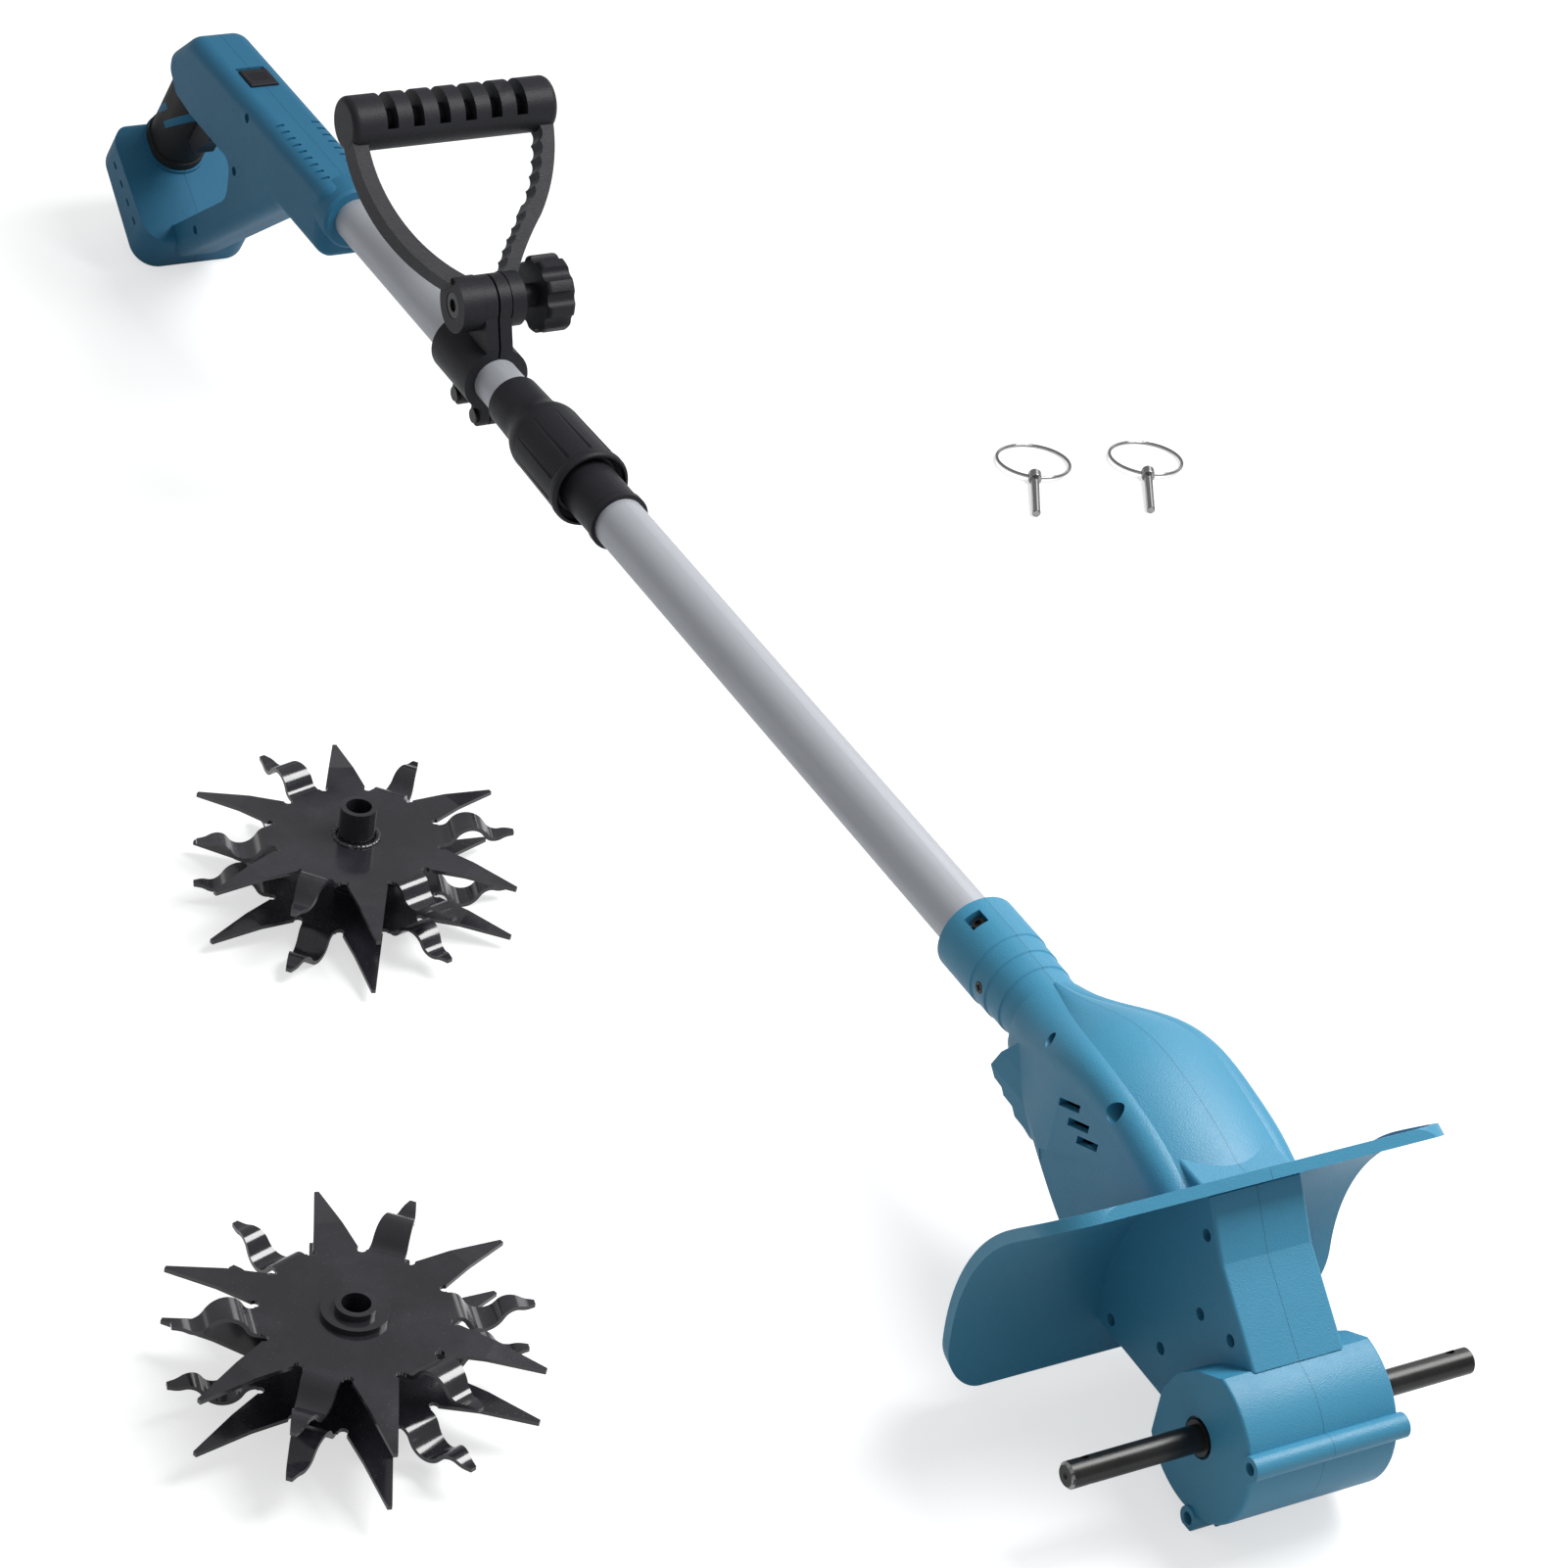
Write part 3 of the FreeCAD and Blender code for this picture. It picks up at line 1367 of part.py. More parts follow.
def pivot_bolt():
    left, right = eye_spans()
    place = (pivot_y, pivot_z)
    head = cyl_x(bolt_head_radius, left[0] + seat_gap, left[0] + bolt_head_height, place)
    shank = cyl_x(pivot_bolt_radius, left[0] + bolt_head_height, right[1] + knob_stem_length, place)
    socket = cyl_x(bolt_head_radius / 2, left[0] - OVERRUN, left[0] + bolt_head_height * 0.7, place)
    return head.fuse(shank).cut(socket)


def star_knob():
    right = eye_spans()[1]
    place = (pivot_y, pivot_z)
    stem_start = right[1] + seat_gap
    disc_start = right[1] + knob_stem_length
    stem = cyl_x(knob_stem_radius, stem_start, disc_start, place)
    disc = cyl_x(knob_radius, disc_start, disc_start + knob_thickness, place)
    disc = disc.makeFillet(knob_radius / 10, rim_edges(disc))
    reach = knob_radius + knob_scallop_radius * 0.45
    for i in range(knob_lobes):
        a = 2 * pi * i / knob_lobes
        scoop = cyl_x(knob_scallop_radius, disc_start - OVERRUN, disc_start + OVERRUN,
                      (place[0] + reach * cos(a), place[1] + reach * sin(a)))
        disc = disc.cut(scoop)
    body = stem.fuse(disc)
    bore_end = disc_start + shaft_fit
    return body.cut(cyl_x(pivot_bolt_radius + shaft_fit, stem_start - OVERRUN, bore_end, place))


# Rear handle
def set_on_grip(shape):
    """Moves a shape drawn about the grip's base, grip along Z, to its place."""
    shape.rotate(V(0, 0, 0), V(1, 0, 0), grip_lean_deg)
    shape.translate(V(0, grip_base[0], grip_base[1]))
    return shape


def oval_prism(half_x, half_y, z0, z1):
    r = min(half_x, half_y) * 0.98
    wire = rounded_wire([(-half_x, -half_y), (half_x, -half_y), (half_x, half_y), (-half_x, half_y)], r,
                        lambda p: V(p[0], p[1], z0))
    return Part.Face(wire).extrude(V(0, 0, z1 - z0))


def handle_shell():
    """Body from the pole's socket to the hump, with the strut down to the foot."""
    y0 = socket_y + socket_lip_length
    zt = pole_height + handle_top
    zb = pole_height - handle_bottom
    back = on_grip(grip_half_depth, grip_length / 2)
    outline = [
        (y0, zb),
        strut_corner,
        strut_foot,
        on_grip(-foot_front / 4, -foot_rear_thickness / 2),
        (hump_rear[0] + handle_wall, saddle_z),
        hump_rear,
        hump_top,
        (y0, zt),
    ]
    body = soft_prism_x(outline, handle_corners, -handle_half_width, handle_half_width, handle_edge)
    reach = hump_rear[0] + OVERRUN
    plate_rear = on_grip(foot_rear + OVERRUN, 0)
    hole = [
        (opening_front_y, saddle_z),
        (opening_front_y, opening_bend_z),
        opening_low,
        plate_rear,
        (reach, hump_rear[1] + handle_edge),
        (hump_rear[0], hump_rear[1] - handle_wall),
        (saddle_y + 2 * trigger_root, saddle_z + handle_wall),
        (saddle_y, saddle_z),
    ]
    body = body.cut(prism_x(hole, opening_corners, -OVERRUN, OVERRUN))
    return body


def socket_ring():
    r = socket_radius
    y = socket_y
    return turned_y([(y, 0), (y, r - neck_lip), (y + neck_lip, r), (y + 3 * socket_lip_length, r),
                     (y + 3 * socket_lip_length, 0)])


def foot_profile(inset):
    """Side view of the battery foot about the grip's base, thicker towards the front."""
    return [
        (-foot_front + inset, -inset),
        (-foot_front + inset, -foot_front_thickness),
        (foot_rear - inset, -foot_rear_thickness),
        (foot_rear - inset, -inset),
    ]


def foot_body():
    """Battery foot: block with round corners and the battery's slot from below."""
    wire = rounded_wire(foot_profile(0.0), foot_corners, lambda p: V(-foot_half_width, p[0], p[1]))
    block_body = Part.Face(wire).extrude(V(2 * foot_half_width, 0, 0))
    plan = rounded_wire(
        [(-foot_half_width, -foot_front), (foot_half_width, -foot_front), (foot_half_width, foot_rear),
         (-foot_half_width, foot_rear)],
        foot_corner, lambda p: V(p[0], p[1], -OVERRUN))
    body = block_body.common(Part.Face(plan).extrude(V(0, 0, 2 * OVERRUN)))
    middle = (foot_rear - foot_front) / 2
    for i in range(foot_slot_count):
        y = middle + (i - (foot_slot_count - 1) / 2) * foot_slot_pitch
        for side in (-1, 1):
            x0, x1 = sorted((side * (foot_half_width - foot_wall / 2), side * (foot_half_width + OVERRUN)))
            body = body.cut(block(x0, x1, y - foot_slot_length / 2, y + foot_slot_length / 2,
                                  -foot_rear_thickness / 2, -foot_rear_thickness / 2 + foot_slot_width))
    return set_on_grip(body)


def battery_slot():
    """Slot for the battery with its two guide rails, open at the rear and below."""
    slot = block(-slot_half_width, slot_half_width, -foot_front + 2 * foot_wall, OVERRUN,
                 -OVERRUN, -foot_rear_thickness + slot_depth)
    for side in (-1, 1):
        x0, x1 = sorted((side * slot_half_width, side * (slot_half_width - rail_width)))
        rail = block(x0, x1, -foot_front, OVERRUN, -foot_rear_thickness + rail_height / 2,
                     -foot_rear_thickness + rail_height * 1.5)
        slot = slot.cut(rail)
    return set_on_grip(slot)


def handle_housing():
    core = oval_prism(grip_half_width - grip_rubber, grip_half_depth - grip_rubber, -foot_wall, grip_length)
    ring = oval_prism(grip_half_width + grip_rubber, grip_half_depth + grip_rubber,
                      -foot_wall, grip_ring_height / 2)
    body = handle_shell().fuse(socket_ring()).fuse(foot_body())
    body = body.fuse(set_on_grip(core)).fuse(set_on_grip(ring))
    body = body.cut(handle_hollow()).cut(battery_slot())
    body = body.cut(cyl_y(upper_tube_radius + shaft_fit, socket_y - OVERRUN, upper_tube_end))
    for place in handle_screws_at:
        x0 = -handle_half_width
        body = body.cut(cyl_x(recess_radius, x0 - OVERRUN, x0 + recess_depth, place))
        body = body.cut(cyl_x(screw_shank_radius, x0, handle_half_width / 2, place))
    body = body.cut(top_grooves())
    return body.cut(button_pocket()).cut(trigger_pocket()).cut(switch_block(seat_gap))


def top_grooves():
    """Row of short grooves along both upper edges in front of the switch."""
    z = pole_height + handle_top
    shapes = []
    for i in range(top_groove_count):
        y = top_groove_y + i * top_groove_pitch
        for side in (-1, 1):
            x0, x1 = sorted((side * top_groove_x, side * (top_groove_x + top_groove_length)))
            shapes.append(block(x0, x1, y, y + top_groove_width, z - top_groove_depth, z + OVERRUN))
    return Part.makeCompound(shapes)


def handle_hollow():
    """Room inside for the wiring between the pole's socket and the switch."""
    zt = pole_height + handle_top - handle_wall - button_depth
    zb = pole_height - handle_bottom + handle_wall
    w = handle_half_width - 1.5 * handle_wall
    return block(-w, w, upper_tube_end + handle_wall, switch_y - handle_wall, zb + handle_wall, zt)


def handle_screws():
    screws = []
    for place in handle_screws_at:
        seat = -handle_half_width + recess_depth
        head = cyl_x(screw_head_radius, seat - screw_head_height, seat, place)
        shank = cyl_x(screw_shank_radius, seat, handle_half_width / 2, place)
        screws.append(head.fuse(shank))
    return Part.makeCompound(screws)


def grip_sleeve():
    """Rubber over the grip, from the foot's ring up to the hump."""
    outer = oval_prism(grip_half_width, grip_half_depth, grip_ring_height / 2, grip_length)
    ring = oval_prism(grip_half_width + grip_rubber / 2, grip_half_depth + grip_rubber / 2,
                      grip_ring_height / 2, grip_ring_height * 2)
    core = oval_prism(grip_half_width - grip_rubber, grip_half_depth - grip_rubber,
                      -foot_wall, 2 * grip_length)
    sleeve = set_on_grip(outer.fuse(ring).cut(core))
    pieces = sleeve.cut(handle_shell()).cut(trigger_pocket()).Solids
    return max(pieces, key=lambda piece: piece.Volume)


def button_pocket():
    z = pole_height + handle_top
    half_slot = (button_length + button_travel) / 2 + seat_gap
    return block(-button_width / 2 - seat_gap, button_width / 2 + seat_gap, button_y - half_slot,
                 button_y + half_slot, z - button_depth, z + OVERRUN)


def slide_button():
    """Slide switch on top, at the front of its slot."""
    z = pole_height + handle_top
    y0 = button_y - (button_length + button_travel) / 2
    z0 = z - button_depth
    body = block(-button_width / 2, button_width / 2, y0, y0 + button_length, z0, z + button_rise)
    top_edges = [e for e in body.Edges if e.BoundBox.ZMin > z + button_rise - shaft_fit]
    body = body.makeFillet(button_rise / 2, top_edges)
    for i in range(button_ribs):
        y = y0 + button_length / 3 + button_rib_pitch * i
        body = body.cut(block(-button_width / 3, button_width / 3, y - seat_gap, y + seat_gap,
                              z + button_rise - seat_gap * 1.5, z + OVERRUN))
    return body


def trigger_pocket():
    gap = seat_gap
    room = block(-trigger_width / 2 - gap, trigger_width / 2 + gap, -grip_half_depth - OVERRUN,
                 -trigger_root + trigger_travel + gap, trigger_low - gap, trigger_high + gap)
    return set_on_grip(room)


def trigger():
    """Finger lever in front of the grip with a hollow finger side."""
    points = [
        (-trigger_root, trigger_high),
        (-trigger_tip, trigger_high),
        (-trigger_tip + trigger_hook[0], trigger_low + trigger_hook[1]),
        (-trigger_tip + trigger_toe[0], trigger_low + trigger_toe[1]),
        (-grip_half_depth - trigger_toe[0], trigger_low),
        (-trigger_root, trigger_low),
    ]
    body = prism_x(points, trigger_corners, -trigger_width / 2, trigger_width / 2)
    return set_on_grip(body)


def switch_block(gap):
    """Room of the trigger switch inside the hump, grown by a gap."""
    half_width = switch_half_width + gap
    return block(-half_width, half_width, switch_y - gap, switch_y + switch_length + gap,
                 switch_z - gap, switch_z + switch_height + gap)


def trigger_switch():
    return switch_block(0.0)


def terminal_block():
    """Battery contacts hanging into the foot's slot."""
    top = -foot_rear_thickness + slot_depth
    body = block(-terminal_half_width, terminal_half_width, -foot_front / 2 - terminal_length / 2,
                 -foot_front / 2 + terminal_length / 2, top - terminal_height, top)
    for x in (-terminal_half_width / 2, 0, terminal_half_width / 2):
        y = -foot_front / 2 + terminal_length / 3
        body = body.cut(block(x - seat_gap * 2, x + seat_gap * 2, -foot_front, y,
                              top - terminal_height, top - terminal_height / 4))
    return set_on_grip(body)


# Rotors
def spike(r0, r1):
    """Straight pointed tooth with its outer part bent down."""
    kink = r0 + (r1 - r0) * spike_bend_share
    drop = (r1 - kink) * tan(radians(spike_bend_deg))
    t = rotor_plate
    y = -2 * spike_root_half
    profile = [(r0 - 2 * t, 0), (kink, 0), (r1, -drop), (r1, t - drop), (kink, t), (r0 - 2 * t, t)]
    wire = Part.makePolygon([V(x, y, z) for x, z in profile + profile[:1]])
    sheet = Part.Face(wire).extrude(V(0, -2 * y, 0))
    root, tip = spike_root_half, spike_tip_half
    plan = Part.makePolygon([V(x, w, -OVERRUN) for x, w in
                             ((r0 - 2 * t, root), (r0, root), (r1, tip), (r1, -tip), (r0, -root),
                              (r0 - 2 * t, -root), (r0 - 2 * t, root))])
    return sheet.common(Part.Face(plan).extrude(V(0, 0, 2 * OVERRUN)))


def wave_plan(r0, r1):
    """Plan of a wavy tooth that narrows to its tip on two full flanks."""
    root, mid, tip = wave_root_half, wave_mid_half, wave_tip_half
    rm = (r0 + r1) / 2
    z = -OVERRUN
    edges = [
        Part.makeLine(V(r0, root, z), V(r0, -root, z)),
        Part.Arc(V(r0, -root, z), V(rm, -mid, z), V(r1, -tip, z)).toShape(),
        Part.makeLine(V(r1, -tip, z), V(r1, tip, z)),
        Part.Arc(V(r1, tip, z), V(rm, mid, z), V(r0, root, z)).toShape(),
    ]
    return Part.Face(Part.Wire(edges)).extrude(V(0, 0, 2 * OVERRUN))


def wave(r0, r1, side):
    """Tooth that arches to one side of the plate and levels out at its tip."""
    t = rotor_plate / 2
    y = -2 * wave_root_half
    rails = ([], [])

    def off(place, heading, sign):
        x = place[0] - sign * t * sin(heading)
        z = place[1] + sign * t * cos(heading)
        return V(x, y, t + side * z)

    def straight(start, stop, heading):
        for rail, sign in zip(rails, (1, -1)):
            rail.append(Part.makeLine(off(start, heading, sign), off(stop, heading, sign)))

    def turned(place, start, stop, radius):
        return (place[0] + radius * (sin(stop) - sin(start)), place[1] + radius * (cos(start) - cos(stop)))

    place = (r0, 0.0)
    heading = 0.0
    straight((r0 - 2 * t, 0.0), place, heading)
    for target_deg, radius, run in wave_bends:
        target = radians(target_deg)
        signed = radius if target > heading else -radius
        middle = (heading + target) / 2
        half_way = turned(place, heading, middle, signed)
        stop = turned(place, heading, target, signed)
        for rail, sign in zip(rails, (1, -1)):
            arc = Part.Arc(off(place, heading, sign), off(half_way, middle, sign), off(stop, target, sign))
            rail.append(arc.toShape())
        place, heading = stop, target
        if run:
            stop = (place[0] + run * cos(heading), place[1] + run * sin(heading))
            straight(place, stop, heading)
            place = stop
    straight(place, (r1, place[1]), heading)
    tip = Part.makeLine(off((r1, place[1]), heading, 1), off((r1, place[1]), heading, -1))
    root = Part.makeLine(off((r0 - 2 * t, 0.0), 0.0, 1), off((r0 - 2 * t, 0.0), 0.0, -1))
    wire = Part.Wire(rails[0] + [tip] + rails[1][::-1] + [root])
    sheet = Part.Face(wire).extrude(V(0, -2 * y, 0))
    return sheet.common(wave_plan(r0 - rotor_plate, r1))


def rotor_plate_body(first_side):
    """Plate with straight and wavy teeth in turn; the waves go up and down in turn."""
    body = cyl_z(rotor_root_radius, 0, rotor_plate)
    step = FULL_TURN / rotor_spikes
    for i in range(rotor_spikes):
        tooth = spike(rotor_root_radius, rotor_radius)
        tooth.rotate(V(0, 0, 0), V(0, 0, 1), i * step)
        blade = wave(rotor_root_radius, wave_radius, first_side if i % 2 == 0 else -first_side)
        blade.rotate(V(0, 0, 0), V(0, 0, 1), (i + 1 / 2) * step)
        body = body.fuse(tooth).fuse(blade)
    for i in range(2 * rotor_spikes):
        angle = radians((i + 1 / 2) * step / 2)
        body = body.cut(cyl_z(rotor_notch_radius, -OVERRUN, OVERRUN,
                              rotor_root_radius * cos(angle), rotor_root_radius * sin(angle)))
    return body.cut(cyl_z(rotor_hub_radius, -OVERRUN, OVERRUN))


def rotor(index, x, y, turn, long_end_up):
    """Two toothed plates on a hub tube, lying flat on its end or on its lower waves."""
    first_side = 1 if long_end_up else -1
    length = rotor_long_end + rotor_gap + 2 * rotor_plate + rotor_short_end
    foot = wave_crest - rotor_short_end if long_end_up else 0.0
    low_end = rotor_short_end if long_end_up else rotor_long_end
    z_low = foot + low_end
    z_high = z_low + rotor_plate + rotor_gap
    z_top = z_high + rotor_plate
    lower = rotor_plate_body(first_side)
    lower.translate(V(0, 0, z_low))
    upper = rotor_plate_body(-first_side)
    upper.translate(V(0, 0, z_high))
    hub = cyl_z(rotor_hub_radius, foot, foot + length)
    if long_end_up:
        collar = cyl_z(rotor_collar_radius, z_low - rotor_collar_height, z_low)
    else:
        collar = cyl_z(rotor_collar_radius, z_top, z_top + rotor_collar_height)
    hub = hub.fuse(collar).cut(cyl_z(rotor_bore, -OVERRUN, 2 * OVERRUN))
    seats = [(z_low + rotor_plate, 1, rotor_weld_radius), (z_high, -1, rotor_weld_radius)]
    seats.append((z_top, 1, rotor_weld_ring) if long_end_up else (z_low, -1, rotor_weld_ring))
    beads = []
    for z, up, size in seats:
        cone = Part.makeCone(rotor_hub_radius + size, rotor_hub_radius + size / 4, size / 2,
                             V(0, 0, z), V(0, 0, up))
        beads.append(cone.cut(cyl_z(rotor_hub_radius, -OVERRUN, 2 * OVERRUN)))
    nodes = {
        "upper_plate": upper,
        "lower_plate": lower,
        "hub": hub,
        "welds": Part.makeCompound(beads),
    }
    out = {}
    for name, shape in nodes.items():
        shape.rotate(V(0, 0, 0), V(0, 0, 1), turn)
        shape.translate(V(x, y, 0))
        out["rotor_%d_%s" % (index, name)] = shape
    return out


# Ring pins
def ring_pin(index, x, y, turn):
    """Pin and ring lying on the floor, ring towards the user."""
    lie = asin((pin_head_radius - pin_radius) / pin_length)
    head = cyl_y(pin_head_radius, 0, pin_head_length, 0, 0)
    head = head.makeFillet(pin_head_radius / 6, [e for e in head.Edges if e.BoundBox.YLength < shaft_fit])
    neck = Part.makeCone(pin_radius, pin_neck_radius, pin_neck_length, V(0, -pin_neck_length, 0), V(0, 1, 0))
    shank = cyl_y(pin_radius, -pin_length, -pin_neck_length, 0, 0)
    tip = [e for e in shank.Edges if e.BoundBox.YMax < -pin_length + shaft_fit]
    shank = shank.makeChamfer(pin_tip_chamfer, tip)
    eye_y = pin_head_length / 2
    eye = Part.makeCylinder(ring_eye_radius, 2 * OVERRUN, V(-OVERRUN, eye_y, 0), V(1, 0, 0))
    pin = head.fuse(neck).fuse(shank).cut(eye)
    ring = Part.makeTorus(ring_radius, ring_wire, V(0, eye_y + ring_radius, 0), V(0, 0, 1))
    drop = asin((pin_head_radius - ring_wire) / (2 * ring_radius))
    ring.rotate(V(0, eye_y, 0), V(1, 0, 0), -degrees(drop))
    out = {"ring_pin_%d" % index: pin, "pin_ring_%d" % index: ring}
    for shape in out.values():
        if shape is pin:
            shape.rotate(V(0, 0, 0), V(1, 0, 0), degrees(lie))
        shape.translate(V(0, 0, pin_head_radius))
        shape.rotate(V(0, 0, 0), V(0, 0, 1), turn)
        shape.translate(V(x, y, 0))
    return out


# Whole tool
def stood(shape):
    """Tilts a shape of the tool and lifts it on the floor."""
    shape.rotate(V(0, 0, 0), V(1, 0, 0), pole_tilt_deg)
    shape.translate(V(0, 0, axle_height))
    return shape


def tool_nodes():
    nodes = {}
    nodes["head_housing_left"], nodes["head_housing_right"] = housing()
    nodes["head_screws"] = housing_screws()
    nodes["neck_nut"] = neck_nut()
    nodes["axle"] = axle()
    nodes["axle_sleeves"] = axle_sleeves()
    nodes["axle_bearings"] = axle_bearings()
    nodes.update(gear_set())
    nodes["gear_pins"] = gear_pins()
    nodes["motor_can"] = motor_can()
    nodes["motor_brush_cap"] = motor_cap()
    nodes["lower_tube"] = lower_tube()
    nodes["upper_tube"] = upper_tube()
    nodes["tube_bush"] = tube_bush()
    nodes["lock_body"] = lock_body()
    nodes["twist_grip"] = twist_grip()
    nodes["collet_ring"] = collet_ring()
    nodes["clamp_left"], nodes["clamp_right"] = clamp_halves()
    nodes["clamp_bolts"] = clamp_bolts()
    nodes["d_handle"] = d_handle()
    nodes["pivot_bolt"] = pivot_bolt()
    nodes["star_knob"] = star_knob()
    rear = handle_housing()
    nodes["rear_handle_left"] = half(rear, -1)
    nodes["rear_handle_right"] = half(rear, 1)
    nodes["handle_screws"] = handle_screws()
    nodes["grip_sleeve"] = grip_sleeve()
    nodes["terminal_block"] = terminal_block()
    nodes["slide_button"] = slide_button()
    nodes["trigger"] = trigger()
    nodes["trigger_switch"] = trigger_switch()
    return nodes


def build():
    os.makedirs("parts", exist_ok=True)
    nodes = {name: stood(shape) for name, shape in tool_nodes().items()}
    nodes.update(rotor(1, rotor_one_x, rotor_one_y, rotor_one_turn_deg, True))
    nodes.update(rotor(2, rotor_two_x, rotor_two_y, rotor_two_turn_deg, False))
    nodes.update(ring_pin(1, pin_one_x, pin_one_y, pin_turn_deg))
    nodes.update(ring_pin(2, pin_two_x, pin_two_y, pin_turn_deg))
    for name, shape in nodes.items():
        solids = len(shape.Solids)
        box = shape.BoundBox
        spans = (box.XMin, box.XMax, box.YMin, box.YMax, box.ZMin, box.ZMax)
        print(name, "solids", solids, "valid", shape.isValid(), "volume", round(shape.Volume),
              "x %.1f..%.1f y %.1f..%.1f z %.1f..%.1f" % spans)
        shape.exportStep("parts/%s.step" % name)


build()
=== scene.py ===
import json
from math import cos, pi, radians, sin

import bmesh
import bpy
from mathutils import Matrix, Vector, noise


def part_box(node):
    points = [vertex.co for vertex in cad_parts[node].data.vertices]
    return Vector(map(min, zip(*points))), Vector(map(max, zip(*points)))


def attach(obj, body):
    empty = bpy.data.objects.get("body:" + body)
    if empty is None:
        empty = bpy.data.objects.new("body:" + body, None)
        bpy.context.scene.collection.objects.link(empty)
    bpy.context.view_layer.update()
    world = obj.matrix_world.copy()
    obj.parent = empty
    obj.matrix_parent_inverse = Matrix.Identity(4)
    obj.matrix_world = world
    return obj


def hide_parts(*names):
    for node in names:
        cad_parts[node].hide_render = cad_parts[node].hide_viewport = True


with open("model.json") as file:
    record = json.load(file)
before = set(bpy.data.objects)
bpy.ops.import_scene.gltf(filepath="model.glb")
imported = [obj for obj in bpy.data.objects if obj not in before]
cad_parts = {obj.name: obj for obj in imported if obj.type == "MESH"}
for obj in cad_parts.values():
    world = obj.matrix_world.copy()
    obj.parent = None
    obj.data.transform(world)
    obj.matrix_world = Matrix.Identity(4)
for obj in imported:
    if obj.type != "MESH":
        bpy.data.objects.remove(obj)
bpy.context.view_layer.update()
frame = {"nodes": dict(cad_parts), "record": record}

MM = 0.001
NODES = frame["nodes"]


# Shader maths

class Wire:
    """One socket of a node tree. Sums on it add Math nodes."""

    def __init__(self, tree, socket):
        self.tree = tree
        self.socket = socket

    def maths(self, operation, *values):
        settings = {"operation": operation}
        return self.tree.node("ShaderNodeMath", settings, dict(enumerate(values)))

    def __add__(self, other):
        return self.maths("ADD", self, other)

    def __radd__(self, other):
        return self.maths("ADD", other, self)

    def __sub__(self, other):
        return self.maths("SUBTRACT", self, other)

    def __rsub__(self, other):
        return self.maths("SUBTRACT", other, self)

    def __mul__(self, other):
        return self.maths("MULTIPLY", self, other)

    def __rmul__(self, other):
        return self.maths("MULTIPLY", other, self)

    def magnitude(self):
        return self.maths("ABSOLUTE", self)

    def most(self, other):
        return self.maths("MAXIMUM", self, other)

    def below(self, limit):
        return self.maths("LESS_THAN", self, limit)


class NodeTree:
    """The shader nodes of a material or of the world."""

    def __init__(self, owner):
        owner.use_nodes = True
        self.tree = owner.node_tree
        self.tree.nodes.clear()

    def node(self, kind, settings=None, sockets=None, output=0):
        """One output of a new node. Its settings come before its sockets."""
        made = self.tree.nodes.new(kind)
        for key, value in (settings or {}).items():
            if key == "stops":
                self.set_stops(made.color_ramp, value)
            else:
                setattr(made, key, value)
        for key, value in (sockets or {}).items():
            if isinstance(value, Wire):
                self.tree.links.new(value.socket, made.inputs[key])
            else:
                made.inputs[key].default_value = value
        return Wire(self, made.outputs[output])

    def set_stops(self, ramp, stops):
        """Two stops, each a place on the ramp and a grey level."""
        for element, (place, level) in zip(ramp.elements, stops):
            element.position = place
            element.color = shade(level)

    def end(self, kind, surface):
        """The tree's output node."""
        made = self.tree.nodes.new(kind)
        self.tree.links.new(surface.socket, made.inputs["Surface"])


class Finish(NodeTree):
    """A surface finish: one material, laid out on Object coordinates."""

    def __init__(self, name):
        self.material = bpy.data.materials.new(name)
        super().__init__(self.material)
        self.place = self.node("ShaderNodeTexCoord", output="Object")

    def speckle(self, scale, detail=2.0, roughness=0.5, place=None):
        """Noise about one half."""
        sockets = {
            "Vector": place or self.place,
            "Scale": scale,
            "Detail": detail,
            "Roughness": roughness,
        }
        return self.node("ShaderNodeTexNoise", {}, sockets, "Fac")

    def streaks(self, x, y, z, detail=2.0, roughness=0.5):
        """Noise with its own scale along each axis."""
        return self.speckle(1.0, detail, roughness, self.stretched(x, y, z))

    def stretched(self, x, y, z):
        """The place with each axis scaled."""
        sockets = {"Vector": self.place, "Scale": (x, y, z)}
        return self.node("ShaderNodeMapping", {"vector_type": "POINT"}, sockets)

    def grain(self, scale):
        """Fine pits of spark-eroded tooling."""
        sockets = {"Vector": self.place, "Scale": scale}
        return self.node("ShaderNodeTexVoronoi", {"feature": "F1"}, sockets, "Distance")

    def fade(self, value, low, high):
        """Zero up to the low value, rising to one at the high value."""
        stops = ((low, 0.0), (high, 1.0))
        return self.node("ShaderNodeValToRGB", {"stops": stops}, {"Fac": value}, "Color")

    def mix(self, share, first, second):
        """Blend of two colours. A Mix node's inputs share names, so they go by number."""
        sockets = {0: share, 6: first, 7: second}
        return self.node("ShaderNodeMix", {"data_type": "RGBA"}, sockets, 2)

    def bump(self, height, distance, strength, under=None):
        sockets = {"Height": height, "Distance": distance, "Strength": strength}
        if under:
            sockets["Normal"] = under
        return self.node("ShaderNodeBump", {}, sockets, "Normal")

    def axis(self, letter):
        return self.node("ShaderNodeSeparateXYZ", {}, {"Vector": self.place}, letter)

    def done(self, sockets):
        self.end("ShaderNodeOutputMaterial", self.node("ShaderNodeBsdfPrincipled", {}, sockets))
        return self.material


def shade(level, tint=(1.0, 1.0, 1.0)):
    """A colour from one level and a tint."""
    return (level * tint[0], level * tint[1], level * tint[2], 1.0)


def swing(speckle, width):
    """Noise about one half, as a change about zero."""
    return (speckle - 0.5) * width


# Plastic

